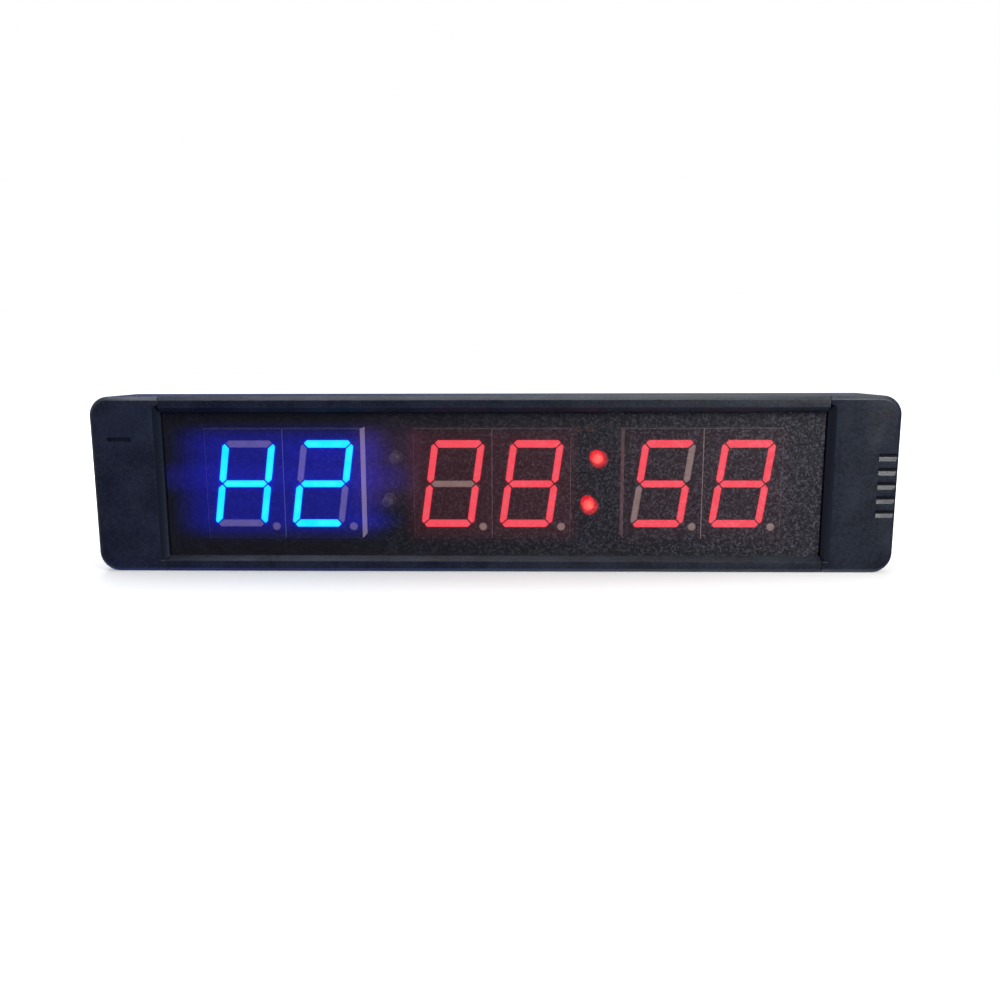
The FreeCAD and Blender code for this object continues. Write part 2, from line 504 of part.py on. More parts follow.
def make_colon_leads():
    return [rod(x, z, PIN_R, BOARD_Y, BOARD_BACK_Y + PIN_TAIL) for x, z in lead_places()]


def make_ir_receiver():
    """Infrared receiver: a small block with a round lens towards the filter."""
    body = centred(IR_X, IR_Z, IR_W, IR_H, IR_Y0, IR_Y1)
    return union([body, Part.makeSphere(IR_LENS_R, V(IR_X, IR_Y0, IR_Z + IR_LENS_UP))])


def make_ir_leads():
    """Three square leads that run straight back from the receiver through the board."""
    return [centred(x, IR_Z, IR_LEAD_W, IR_LEAD_W, IR_Y1, BOARD_BACK_Y + PIN_TAIL) for x in ir_lead_x()]


def chip_body(x, z, w, h, t):
    """Moulded package that stands just off the board's back."""
    y0 = BOARD_BACK_Y + CHIP_STANDOFF
    return centred(x, z, w, h, y0, y0 + t)


def chip_leads(x, z, w, h, count, pitch):
    """Leads along a package's two long sides, as short blocks on the board."""
    first = x - pitch * (count - 1) / 2
    away = (h + CHIP_LEAD_L) / 2
    y1 = BOARD_BACK_Y + CHIP_LEAD_H
    return [centred(first + i * pitch, z + side * away, CHIP_LEAD_W, CHIP_LEAD_L, BOARD_BACK_Y, y1)
            for i in range(count) for side in (-1, 1)]


def make_ic_leads():
    leads = chip_leads(*MICROCONTROLLER, FLAT_LEADS, FLAT_PITCH)
    leads += chip_leads(*CLOCK_CHIP, CLOCK_LEADS, WIDE_PITCH)
    for place in DRIVERS:
        leads += chip_leads(*place, WIDE_LEADS, WIDE_PITCH)
    return leads


def make_cell_holder():
    """Tray with a round well for the cell that keeps the clock running."""
    tray = centred(CELL_X, CELL_Z, TRAY_W, TRAY_H, BOARD_BACK_Y, BOARD_BACK_Y + TRAY_T)
    well = rod(CELL_X, CELL_Z, CELL_R + TRAY_PLAY, BOARD_BACK_Y + TRAY_FLOOR, BOARD_BACK_Y + TRAY_T)
    return tray.cut(well)


def make_cell():
    y0 = BOARD_BACK_Y + TRAY_FLOOR
    return rod(CELL_X, CELL_Z, CELL_R, y0, y0 + CELL_T)


def make_capacitors():
    """Electrolytic capacitors beside the power inlet, each a can on a square base."""
    seat = BOARD_BACK_Y + CAN_BASE_T
    return [union([rod(x, z, CAN_R, seat, BOARD_BACK_Y + CAN_H),
                   centred(x, z, CAN_BASE_SIDE, CAN_BASE_SIDE, BOARD_BACK_Y, seat)]) for x, z in CAN_PLACES]


def make_resistors():
    """A row of chip resistors below each of the two outer display drivers."""
    first = -RESISTOR_PITCH * (RESISTORS_PER_ROW - 1) / 2
    return [centred(x + first + i * RESISTOR_PITCH, z - RESISTOR_DROP, RESISTOR_W, RESISTOR_H,
                    BOARD_BACK_Y, BOARD_BACK_Y + RESISTOR_T)
            for x, z, w, h in (DRIVERS[0], DRIVERS[-1]) for i in range(RESISTORS_PER_ROW)]


def make_front_capacitors():
    """Two small tan capacitors on the board's front, in the gap between pairs."""
    return [centred(x, FRONT_CAP_Z, FRONT_CAP_W, FRONT_CAP_H, BOARD_Y - FRONT_CAP_T, BOARD_Y)
            for x in FRONT_CAP_X]


def make_jack_body():
    """Upright barrel socket: a square body with a round collar that fills the cover's hole."""
    body = union([centred(JACK_X, CONTROL_Z, JACK_BODY, JACK_BODY, BOARD_BACK_Y, JACK_BODY_Y1),
                  rod(JACK_X, CONTROL_Z, JACK_COLLAR_R, JACK_BODY_Y1, JACK_MOUTH_Y)])
    return body.cut(rod(JACK_X, CONTROL_Z, JACK_BORE_R, JACK_MOUTH_Y - JACK_BORE_L, JACK_MOUTH_Y))


def make_jack_pin():
    """Centre contact with a rounded tip, set back from the mouth."""
    tip_y = JACK_MOUTH_Y - JACK_PIN_SET - JACK_PIN_R
    stem = rod(JACK_X, CONTROL_Z, JACK_PIN_R, JACK_MOUTH_Y - JACK_BORE_L, tip_y)
    return union([stem, Part.makeSphere(JACK_PIN_R, V(JACK_X, tip_y, CONTROL_Z))])


def make_buzzer():
    """Round buzzer on the board's front, in the right cap, with a sound hole."""
    y0 = BOARD_Y - BUZZER_H
    can = rod(BUZZER_X, BUZZER_Z, BUZZER_R, y0, BOARD_Y)
    can = can.makeFillet(BUZZER_RIM_R, edges_at_y(can, y0))
    return can.cut(rod(BUZZER_X, BUZZER_Z, BUZZER_HOLE_R, y0, y0 + BUZZER_HOLE_D))


# ---- switch and buttons -----------------------------------------------------------------------
def make_switch_body():
    """Slide switch housing: a hollow box with a slot for the handle."""
    top = BOARD_BACK_Y + SWITCH_H
    lid = top - SWITCH_LID
    body = centred(SWITCH_X, CONTROL_Z, SWITCH_L, SWITCH_W, BOARD_BACK_Y, top)
    cavity = centred(SWITCH_X, CONTROL_Z, SWITCH_CAVITY_L, SWITCH_CAVITY_W, BOARD_BACK_Y + SWITCH_FLOOR, lid)
    slot_l = HANDLE_L + SWITCH_TRAVEL + HANDLE_PLAY
    return cut_all(body, [cavity, centred(SWITCH_X, CONTROL_Z, slot_l, SWITCH_SLOT_H, lid, top)])


def make_switch_slider():
    """Slider with a long handle, drawn at the end of its travel nearest the socket."""
    x = SWITCH_X - SWITCH_TRAVEL / 2
    foot_y0 = BOARD_BACK_Y + SWITCH_FLOOR + 2 * SLIDER_PLAY
    foot_y1 = BOARD_BACK_Y + SWITCH_H - SWITCH_LID - SLIDER_PLAY
    foot = centred(x, CONTROL_Z, SLIDER_FOOT_L, SLIDER_FOOT_W, foot_y0, foot_y1)
    handle = centred(x, CONTROL_Z, HANDLE_L, HANDLE_W, foot_y1, CONTROL_OUT_Y)
    tip = edges_along(handle, V(0, 0, 1), lambda p: p.y > CONTROL_OUT_Y - 0.1)
    return union([foot, handle.makeFillet(HANDLE_ROUND, tip)])


def make_tact_bodies():
    """Three push-switch bodies, each with a bore for its plunger."""
    bodies = []
    for x in BUTTON_X.values():
        body = centred(x, CONTROL_Z, TACT_SIDE, TACT_SIDE, BOARD_BACK_Y, BOARD_BACK_Y + TACT_H)
        bore = rod(x, CONTROL_Z, PLUNGER_BORE_R, BOARD_BACK_Y + TACT_FLOOR, BOARD_BACK_Y + TACT_H)
        bodies.append(body.cut(bore))
    return bodies


def make_plunger(x):
    return rod(x, CONTROL_Z, PLUNGER_R, BOARD_BACK_Y + PLUNGER_FOOT, BOARD_BACK_Y + PLUNGER_TOP)


def make_button_cap(x):
    """Round cap with a flange inside the cover and a stem that rests on the plunger."""
    cap = rod(x, CONTROL_Z, BUTTON_R, BUTTON_FLANGE_Y0, CONTROL_OUT_Y)
    cap = cap.makeFillet(BUTTON_ROUND, edges_at_y(cap, CONTROL_OUT_Y))
    flange = rod(x, CONTROL_Z, BUTTON_FLANGE_R, BUTTON_FLANGE_Y0, BUTTON_FLANGE_Y1)
    stem = rod(x, CONTROL_Z, BUTTON_STEM_R, BOARD_BACK_Y + PLUNGER_TOP, BUTTON_FLANGE_Y0)
    return union([cap, flange, stem])


# ---- assembly ---------------------------------------------------------------------------------
def build():
    nodes = {
        "centre_housing": make_centre_housing(),
        "end_cap_left": make_end_cap_left(),
        "end_cap_right": make_end_cap_right(),
        "front_filter": make_front_filter(),
        "rear_cover": make_rear_cover(),
        "rear_cover_screws": make_rear_cover_screws(),
        "board_screws": make_board_screws(),
        "main_board": make_main_board(),
        "digit_carrier_boards": make_carriers(),
        "digit_led_chips": make_led_chips(),
        "digit_pins": make_digit_pins(),
        "colon_led_leads": make_colon_leads(),
        "ir_receiver": make_ir_receiver(),
        "ir_receiver_leads": make_ir_leads(),
        "microcontroller": chip_body(*MICROCONTROLLER, FLAT_CHIP_T),
        "display_drivers": [chip_body(*place, WIDE_CHIP_T) for place in DRIVERS],
        "clock_chip": chip_body(*CLOCK_CHIP, WIDE_CHIP_T),
        "chip_leads": make_ic_leads(),
        "clock_crystal": chip_body(*CRYSTAL, CRYSTAL_T),
        "coin_cell_holder": make_cell_holder(),
        "coin_cell": make_cell(),
        "voltage_regulator": chip_body(*REGULATOR, WIDE_CHIP_T),
        "electrolytic_capacitors": make_capacitors(),
        "chip_resistors": make_resistors(),
        "front_capacitors": make_front_capacitors(),
        "dc_socket_body": make_jack_body(),
        "dc_socket_pin": make_jack_pin(),
        "buzzer": make_buzzer(),
        "power_switch_body": make_switch_body(),
        "power_switch_slider": make_switch_slider(),
        "button_switch_bodies": make_tact_bodies(),
    }
    for name, (x, z) in COLON_PLACES.items():
        nodes[name] = make_colon_led(x, z)
    for name, x in BUTTON_X.items():
        nodes[name + "_button_cap"] = make_button_cap(x)
        nodes[name + "_button_plunger"] = make_plunger(x)
    for number, x in digit_centres().items():
        shell, lit, unlit = make_digit(number, x)
        nodes["digit_%d_shell" % number] = shell
        nodes["digit_%d_lit_segments" % number] = lit
        nodes["digit_%d_unlit_segments" % number] = unlit
    return nodes


def export(nodes):
    os.makedirs("parts", exist_ok=True)
    for name, shape in nodes.items():
        if isinstance(shape, list):
            shape = Part.makeCompound(shape)
        shape.exportStep("parts/%s.step" % name)
        solids = shape.Solids
        box = shape.BoundBox
        print("%-26s solids %3d  volume %9.1f  valid %s  x %.1f..%.1f  y %.1f..%.1f  z %.1f..%.1f" % (
            name, len(solids), sum(s.Volume for s in solids), shape.isValid(),
            box.XMin, box.XMax, box.YMin, box.YMax, box.ZMin, box.ZMax))


export(build())
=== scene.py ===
# %% [markdown]
# # A gym round timer
#
# The timer is a low, wide black case with six seven-segment digits behind a tinted, frosted window.
# Its parts arrive as a fixed frame of CAD meshes. This lesson gives each of them a finish, rounds the
# moulded edges that catch the light, and rebuilds the light guides of the digits, because they are
# what the eye goes to first. Nothing here moves or resizes a part.

# %% Load the frame
import json
import math

import bmesh
import bpy
import numpy as np
from mathutils import Matrix, Vector


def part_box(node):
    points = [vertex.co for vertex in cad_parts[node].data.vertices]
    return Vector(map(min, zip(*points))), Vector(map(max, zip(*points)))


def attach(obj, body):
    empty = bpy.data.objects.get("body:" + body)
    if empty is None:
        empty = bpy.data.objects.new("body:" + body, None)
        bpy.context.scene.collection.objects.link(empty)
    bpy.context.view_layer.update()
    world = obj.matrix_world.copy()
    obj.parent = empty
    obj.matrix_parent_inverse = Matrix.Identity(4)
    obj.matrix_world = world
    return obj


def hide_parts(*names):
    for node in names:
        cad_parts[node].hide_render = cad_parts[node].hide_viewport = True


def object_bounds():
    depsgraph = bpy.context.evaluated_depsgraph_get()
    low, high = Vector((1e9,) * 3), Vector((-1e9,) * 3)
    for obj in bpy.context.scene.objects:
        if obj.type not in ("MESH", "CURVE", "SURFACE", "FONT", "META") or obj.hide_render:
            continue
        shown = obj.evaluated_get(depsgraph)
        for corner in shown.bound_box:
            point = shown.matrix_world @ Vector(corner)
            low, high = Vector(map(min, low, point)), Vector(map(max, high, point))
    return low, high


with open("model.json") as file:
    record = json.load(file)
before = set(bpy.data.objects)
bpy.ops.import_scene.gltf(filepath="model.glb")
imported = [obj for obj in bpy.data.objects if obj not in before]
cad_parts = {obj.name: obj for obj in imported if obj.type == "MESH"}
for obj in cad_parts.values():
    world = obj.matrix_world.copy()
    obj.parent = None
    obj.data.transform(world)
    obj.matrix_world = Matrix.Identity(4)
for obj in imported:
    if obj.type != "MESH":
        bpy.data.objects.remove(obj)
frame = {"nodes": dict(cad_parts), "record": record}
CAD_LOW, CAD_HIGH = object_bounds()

NODES = frame["nodes"]
BODY_OF = {n: body for body, members in frame["record"]["behaviour"]["bodies"].items() for n in members}
SLOT_OF = {s["node"]: s["material_slot"] for s in frame["record"]["subparts"]}
MM = 0.001
print("case in mm:", [round((b - a) / MM, 1) for a, b in zip(CAD_LOW, CAD_HIGH)])

# %% [markdown]
# ## Colour and node helpers
#
# A colour is picked as an sRGB hex value, the way a paint chip is read, but light adds up linearly, so
# one function turns the hex into linear numbers. Another adds a shader node with its settings and its
# links, and every finish below is built with it. A noise gets its scale from a size in millimetres, so
# that a pattern's size is known. A Mix of colours takes its
# factor at input 0 and its two colours at inputs 6 and 7, and gives the result at output 2.

# %% Helpers for colours and nodes
def srgb(code, alpha=1.0):
    """Hex colour to linear RGBA: each channel is v/12.92 in the toe, else ((v+0.055)/1.055)^2.4."""
    v = np.array([int(code[i:i + 2], 16) for i in (1, 3, 5)]) / 255
    linear = np.where(v <= 0.04045, v / 12.92, ((v + 0.055) / 1.055) ** 2.4)
    return (*linear.tolist(), alpha)


def plain(value):
    """A hex colour as linear RGBA, and anything else as it is."""
    return srgb(value) if isinstance(value, str) else value


def wire(node, sockets):
    """Fills a node's inputs, by name or number: an output is linked, a hex colour or value is set."""
    for socket, value in sockets.items():
        if isinstance(value, bpy.types.NodeSocket):
            node.id_data.links.new(value, node.inputs[socket])
        else:
            node.inputs[socket].default_value = plain(value)


def add(tree, kind, sockets=None, out=0, stops=(), **settings):
    """Adds a node with its settings, ramp stops and wired inputs, and returns one of its outputs.

    A stop is a place from 0 to 1 and a colour.
    """
    node = tree.nodes.new("ShaderNode" + kind)
    for name, value in settings.items():
        setattr(node, name, value)
    while stops and len(node.color_ramp.elements) < len(stops):
        node.color_ramp.elements.new(0.5)
    if stops:
        for element, (place, colour) in zip(node.color_ramp.elements, stops):
            element.position = place
            element.color = plain(colour)
    wire(node, sockets or {})
    return node.outputs[out]


def cells(size_mm):
    """Noise scale, in cells to a metre, that gives blobs about size_mm across: half a cell each."""
    return 0.5 / (size_mm * MM)


def new_finish(name, **sockets):
    """A material whose shader has the given plain values, with underscores for spaces in names."""
    material = bpy.data.materials.new(name)
    material.use_nodes = True
    shader = material.node_tree.nodes["Principled BSDF"]
    wire(shader, {socket.replace("_", " "): value for socket, value in sockets.items()})
    return material, material.node_tree, shader


print("rose red", [round(v, 3) for v in srgb("#ff4856")], "and 1 mm grains need scale", cells(1.0))

# %% [markdown]
# ## Moulded black ABS
#
# The caps, rails and cover are injection-moulded ABS. The tool is spark-eroded, which leaves a fine
# pebbled skin, so the plastic looks satin and not glossy. It could be one plain black with a bump, but
# the pebbles also catch the light one by one, so a fine speckle is mixed into the colour. A long faint
# waviness comes from uneven shrinkage. The real grain is nearer 0.1 mm, too fine to show, so it is
# drawn at 0.6 mm, and at 0.8 mm on the cover. Two zones of the caps get a darker colour, which is
# painted shade, and a smoother skin: the bevels beside the window, in a bluish painted shade that
# leaves shine only at their edges, and the floors of the grooves. Two zones of the caps look darker,
# and why is a guess: the bevels beside the window are taken as polished in the tool, with shine only
# at their edges, and the floors of the grooves are taken to hold dust.

# %% Finish: moulded ABS
TONGUE_REACH = 6.0      # mm that a cap's tongues reach past the seam, into the housing
SEAM_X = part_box("end_cap_right")[0].x + TONGUE_REACH * MM
FACE = CAD_LOW.y / MM
ZONE_ROUGHNESS = 0.3


def inside_box(tree, x, y, z, box_mm):
    """1 inside a box, else 0: each coordinate is compared with the box's middle and half size."""
    inside = None
    for coordinate, (low, high) in zip((x, y, z), box_mm):
        within = add(tree, "Math", {0: coordinate, 1: (low + high) / 2 * MM, 2: (high - low) / 2 * MM},
                     operation="COMPARE")
        inside = add(tree, "Math", {0: inside, 1: within}, operation="MULTIPLY") if inside else within
    return inside


def moulded_abs(name, dark, light, grain_mm=0.6, grain_depth=0.1, rough=(0.38, 0.5), zones=()):
    """Black ABS with a spark-eroded skin. Its colour is half slow drift and half fine speckle.

    Each zone is a box in mm, as ranges of |x|, y and z, and the colour of the painted shade in it, where
    the skin is also smoother.
    """
    material, tree, shader = new_finish(name, IOR=1.53)
    point = add(tree, "TexCoord", out="Object")
    slow = add(tree, "TexNoise", {"Vector": point, "Scale": cells(9.0), "Detail": 3.0})
    fine = add(tree, "TexNoise", {"Vector": point, "Scale": cells(grain_mm), "Detail": 2.0,
                                  "Roughness": 0.6})
    both = add(tree, "Math", {0: slow, 1: fine}, operation="ADD")
    tone = add(tree, "MapRange", {"Value": both, "From Min": 0.78, "From Max": 1.22})
    colour = add(tree, "Mix", {0: tone, 6: dark, 7: light}, out=2, data_type="RGBA")
    worn = add(tree, "TexNoise", {"Vector": point, "Scale": cells(5.0), "Detail": 4.0})
    roughness = add(tree, "MapRange", {"Value": worn, "From Min": 0.3, "From Max": 0.7,
                                       "To Min": rough[0], "To Max": rough[1]})
    x = add(tree, "SeparateXYZ", {0: point})
    away = add(tree, "Math", {0: x}, operation="ABSOLUTE")
    # painted shade: inside each zone its darker colour replaces the skin's colour, and the roughness
    # drops
    for box_mm, painted_shade in zones:
        here = inside_box(tree, away, x.node.outputs[1], x.node.outputs[2], box_mm)
        colour = add(tree, "Mix", {0: here, 6: colour, 7: painted_shade}, out=2, data_type="RGBA")
        roughness = add(tree, "Mix", {0: here, 2: roughness, 3: ZONE_ROUGHNESS})
    swell = add(tree, "TexNoise", {"Vector": point, "Scale": cells(18.0), "Detail": 1.0})
    wave = add(tree, "Bump", {"Height": swell, "Distance": 0.06 * MM, "Strength": 0.5})
    skin = add(tree, "Bump", {"Height": fine, "Distance": grain_depth * MM, "Strength": 0.9,
                              "Normal": wave})
    wire(shader, {"Base Color": colour, "Roughness": roughness, "Normal": skin})
    return material


# Each zone: its ranges of |x|, y and z in mm, then its colour, a painted shade. The bevel's front 0.15
# mm is left out, so that its edge keeps the skin that shines.
# painted shade: the bevels beside the window are darker and bluish, with a smoother skin
BEVEL_SHADE_ZONE = (((SEAM_X / MM, SEAM_X / MM + 3.2), (FACE + 0.15, FACE + 3.2), (4.0, 72.0)), "#141a26")
# painted shade: the floors of the grooves in the caps are darker, with a smoother skin
GROOVE_SHADE_ZONE = (((162.9, 171.35), (FACE + 0.93, FACE + 1.2), (22.0, 54.0)), "#090b0f")

# Satin black with a faint sparkle. The caps are the same, with zones of painted shade, and the cover is
# duller.
RAIL_ABS = moulded_abs("abs_spark_eroded_rails", "#0f1318", "#292e35")
CAP_ABS = moulded_abs("abs_spark_eroded_caps", "#11151a", "#2c3138", zones=(BEVEL_SHADE_ZONE, GROOVE_SHADE_ZONE))
COVER_ABS = moulded_abs("abs_spark_eroded_cover", "#1b1d20", "#2a2c2f", 0.8, 0.1, (0.5, 0.66))
print("moulded finishes:", RAIL_ABS.name, CAP_ABS.name, COVER_ABS.name, "seam at", round(SEAM_X / MM, 2))

# %% [markdown]
# ## Rounding the moulded edges
#
# No moulded edge is truly sharp, and its tiny radius is what draws a bright line along it. The CAD
# meshes have ideal edges. They could be rounded by a shader trick, but real geometry survives an
# export, so each shell is copied, its doubles are merged, its flat faces are joined up, and a Bevel
# modifier rounds what is left. A bevel only takes material away, so the size stays.

# %% Copy a node and round its edges
WELD_MM = 0.002     # vertices nearer than this become one
FLAT_DEG = 0.6      # faces that meet at less than this are joined


def rounded_copy(node, radius_mm, segments=2, angle_deg=28.0):
    """Copy of a CAD node with flat faces merged and every edge sharper than an angle rounded."""
    mesh = NODES[node].data.copy()
    bm = bmesh.new()
    bm.from_mesh(mesh)
    bmesh.ops.remove_doubles(bm, verts=bm.verts, dist=WELD_MM * MM)
    bmesh.ops.dissolve_limit(bm, angle_limit=math.radians(FLAT_DEG), verts=bm.verts, edges=bm.edges)
    bm.to_mesh(mesh)
    bm.free()
    piece = bpy.data.objects.new(node + "_moulded", mesh)
    bpy.context.scene.collection.objects.link(piece)
    mesh.shade_smooth()
    bevel = piece.modifiers.new("edge radius", "BEVEL")
    bevel.width = radius_mm * MM
    bevel.segments = segments
    bevel.limit_method = "ANGLE"
    bevel.angle_limit = math.radians(angle_deg)
    bevel.harden_normals = True
    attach(piece, BODY_OF[node])
    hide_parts(node)
    return piece


def dress(piece, *materials):
    """Gives a piece its materials in place of any it had."""
    piece.data.materials.clear()
    for material in materials:
        piece.data.materials.append(material)


MOULDED = {"centre_housing": (0.25, RAIL_ABS), "end_cap_left": (0.3, CAP_ABS),
           "end_cap_right": (0.3, CAP_ABS), "rear_cover": (0.2, COVER_ABS)}
for node, (radius, material) in MOULDED.items():
    piece = rounded_copy(node, radius)
    dress(piece, material)
    print(node, "faces:", len(piece.data.polygons))

# %% [markdown]
# ## The frosted window
#
# The window is tinted acrylic with a finely frosted front, so that gym lights don't mirror in it. It
# could be rough glass, but rough glass blurs the digits, and the real one keeps them sharp because
# they almost touch it. So it is a see-through surface with a plain alpha: it keeps the dark tint and
# a grainy, partly painted sheen of its own, and lets the rest through. Towards the right end its grain
# is deeper, and its colour and flecks are lighter, a painted sheen of the light from that side; towards
# the left end both fade. The frost looks smoother towards the left end, as wiping would wear it, and
# that reason is a guess. The real frosting is far finer than its grain here, which is drawn at 0.45 mm
# so that it shows. The frosting scatters the light of the digits, so the sheet also glows softly around
# the lit figures. That glow is painted from the digits' own places.

# %% Places of the digits, read from the frame
DIGITS = range(1, 7)
SHELL_BOX = {n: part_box("digit_%d_shell" % n) for n in DIGITS}
CENTRE = {n: (lo + hi) / 2 for n, (lo, hi) in SHELL_BOX.items()}
FACE_Y = SHELL_BOX[1][0].y
FILTER_LOW, FILTER_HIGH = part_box("front_filter")
LIT_FIGURES = {1: "bcefg", 2: "abdeg", 3: "abcdef", 4: "abcdefg", 5: "acdfg", 6: "abcdefg"}
LEVEL = CENTRE[1].z / MM
PAIR = {p: (CENTRE[2 * p - 1].x + CENTRE[2 * p].x) / 2 / MM for p in (1, 2, 3)}
print("digit centres, mm:", [round(c.x / MM, 1) for c in CENTRE.values()])

# %% Finish: tinted acrylic with its glow
# Each patch of glow: middle and half width along X, middle and half height along Z, the two widths
# over which it fades, all in mm, then its colour and strength.
GLOW_PATCHES = [
    (PAIR[1], 27, LEVEL + 1, 15, 26, 13, "#0818d8", 0.42),
    (PAIR[1], 46, LEVEL + 3, 1, 14, 8, "#2020d0", 0.16),
    (PAIR[1] + 22, 0, LEVEL + 14, 0, 34, 7, "#2020ff", 0.12),
    (PAIR[1] + 38, 0, LEVEL - 16, 0, 18, 5, "#2020ff", 0.10),
    (PAIR[1] + 46, 8, LEVEL + 8, 8, 12, 16, "#2c162a", 1.0),
    (PAIR[2], 31, LEVEL, 19, 9, 9, "#5a1a20", 0.36),
    (PAIR[3], 31, LEVEL, 19, 9, 9, "#46181e", 0.24),
]
# painted sheen: the sheet lightens, and its grain deepens, from the first place to the second
FROST_AND_SHEEN_LOW_X, FROST_AND_SHEEN_FULL_X = -70, 135       # mm: weakest left of the first, full right of the second
FROST_GRAIN_MM = 0.45
HALO_FULL, HALO_END = 2.2, 4.6              # mm from the axis of a lit colon lamp
HALO_SHIFT = 0.1                            # mm that a halo sits to the right of its lamp and above it
HALO_COLOUR, HALO_STRENGTH = "#ff2830", 0.85


def faded_band(tree, coordinate, middle_mm, half_mm, fade_mm):
    """1 within half of the middle, falling smoothly to 0 over the fade: a step of |c - middle|."""
    off = add(tree, "Math", {0: coordinate, 1: middle_mm * MM}, operation="SUBTRACT")
    away = add(tree, "Math", {0: off}, operation="ABSOLUTE")
    return add(tree, "MapRange", {"Value": away, "From Min": half_mm * MM,
                                  "From Max": (half_mm + fade_mm) * MM, "To Min": 1.0, "To Max": 0.0},
               interpolation_type="SMOOTHERSTEP")


def frosted_acrylic():
    """Dark tinted sheet: frosted grain in front with a painted sheen that grows to the right, plus the
    painted glow of the lit figures caught in the frosting.

    The glow is the sum of soft rectangles, each a product of two faded bands, and of one round halo
    for each lit colon lamp, a soft step of the distance from its axis.
    """
    material, tree, shader = new_finish("acrylic_tinted_frosted", IOR=1.49, Alpha=0.42)
    point = add(tree, "TexCoord", out="Object")
    x = add(tree, "SeparateXYZ", {0: point})
    z = x.node.outputs[2]
    grain = add(tree, "TexNoise", {"Vector": point, "Scale": cells(FROST_GRAIN_MM), "Detail": 1.0,
                                   "Roughness": 0.5})
    # painted sheen: towards the right the sheet's colour and flecks lighten, while the grain's bump
    # deepens
    frost_and_sheen = add(tree, "MapRange", {"Value": x, "From Min": FROST_AND_SHEEN_LOW_X * MM,
                                   "From Max": FROST_AND_SHEEN_FULL_X * MM, "To Min": 0.16, "To Max": 1.0})
    fleck = add(tree, "MapRange", {"Value": grain, "From Min": 0.46, "From Max": 0.8})
    shown = add(tree, "Math", {0: fleck, 1: frost_and_sheen}, operation="MULTIPLY")
    sheet = add(tree, "Mix", {0: frost_and_sheen, 6: "#252224", 7: "#3e3b3c"}, out=2, data_type="RGBA")
    base = add(tree, "Mix", {0: shown, 6: sheet, 7: "#989496"}, out=2, data_type="RGBA")
    roughness = add(tree, "MapRange", {"Value": grain, "From Min": 0.3, "From Max": 0.7,
                                       "To Min": 0.5, "To Max": 0.68})
    height = add(tree, "Math", {0: grain, 1: frost_and_sheen}, operation="MULTIPLY")
    pits = add(tree, "Bump", {"Height": height, "Distance": 0.05 * MM, "Strength": 0.7})
    glow = None
    for mid_x, half_x, mid_z, half_z, fade_x, fade_z, code, strength in GLOW_PATCHES:
        mask = add(tree, "Math", {0: faded_band(tree, x, mid_x, half_x, fade_x),
                                  1: faded_band(tree, z, mid_z, half_z, fade_z)}, operation="MULTIPLY")
        tint = Vector(srgb(code)[:3]) * strength
        patch = add(tree, "VectorMath", {0: tint, "Scale": mask}, operation="SCALE")
        glow = add(tree, "VectorMath", {0: glow, 1: patch}, operation="ADD") if glow else patch
    flat = add(tree, "VectorMath", {0: point, 1: (1, 0, 1)}, operation="MULTIPLY")
    halo_light = Vector(srgb(HALO_COLOUR)[:3]) * HALO_STRENGTH
    for name in ("upper", "lower"):
        low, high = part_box("colon_led_%s_right" % name)
        axis = ((low.x + high.x) / 2 + HALO_SHIFT * MM, 0, (low.z + high.z) / 2 + HALO_SHIFT * MM)
        away = add(tree, "VectorMath", {0: flat, 1: axis}, out="Value", operation="DISTANCE")
        halo = add(tree, "MapRange", {"Value": away, "From Min": HALO_FULL * MM,
                                      "From Max": HALO_END * MM, "To Min": 1.0, "To Max": 0.0},
                   interpolation_type="SMOOTHERSTEP")
        patch = add(tree, "VectorMath", {0: halo_light, "Scale": halo}, operation="SCALE")
        glow = add(tree, "VectorMath", {0: glow, 1: patch}, operation="ADD")
    twinkle = add(tree, "MapRange", {"Value": grain, "From Min": 0.3, "From Max": 0.7,
                                     "To Min": 0.8, "To Max": 1.2})
    grainy = add(tree, "VectorMath", {0: glow, "Scale": twinkle}, operation="SCALE")
    wire(shader, {"Base Color": base, "Roughness": roughness, "Normal": pits,
                  "Emission Color": grainy, "Emission Strength": 1.0})
    return material


ACRYLIC = frosted_acrylic()     # dark sheet with a grainy sheen that lets the lit figures through
dress(NODES["front_filter"], ACRYLIC)
print("window, mm:", [round((b - a) / MM, 1) for a, b in zip(FILTER_LOW, FILTER_HIGH)])

# %% [markdown]
# ## Light guides of the digits
#
# Each bar of a figure is a shaft of milky epoxy cast into the black-faced shell. Its face is flat with
# a slight meniscus, and it glows brightest along its spine and less at its rim. A plain extrusion
# can't say how far a point is from the rim. So each bar is rebuilt as rings: the outline is carried
# inwards to the bar's spine, and every vertex stores how far in it lies. The material turns that
# number into light.

# %% Outlines of the seven bars
# All in mm: the figure's width and height; how wide the level, upright and middle bars are; the gap
# between bars, the cut at an outer corner and the rounding; the decimal point's centre and radius.
FIGURE_W, FIGURE_H, SLANT = 23.0, 38.1, math.tan(math.radians(8.0))
BAR_H, BAR_V, BAR_MID, BAR_GAP, CHAMFER, ROUND = 3.35, 3.05, 3.05, 0.45, 2.6, 0.4
POINT_PLACE, POINT_R = (13.0, -18.8), 1.9
GUIDE_BACK_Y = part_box("digit_1_lit_segments")[1].y


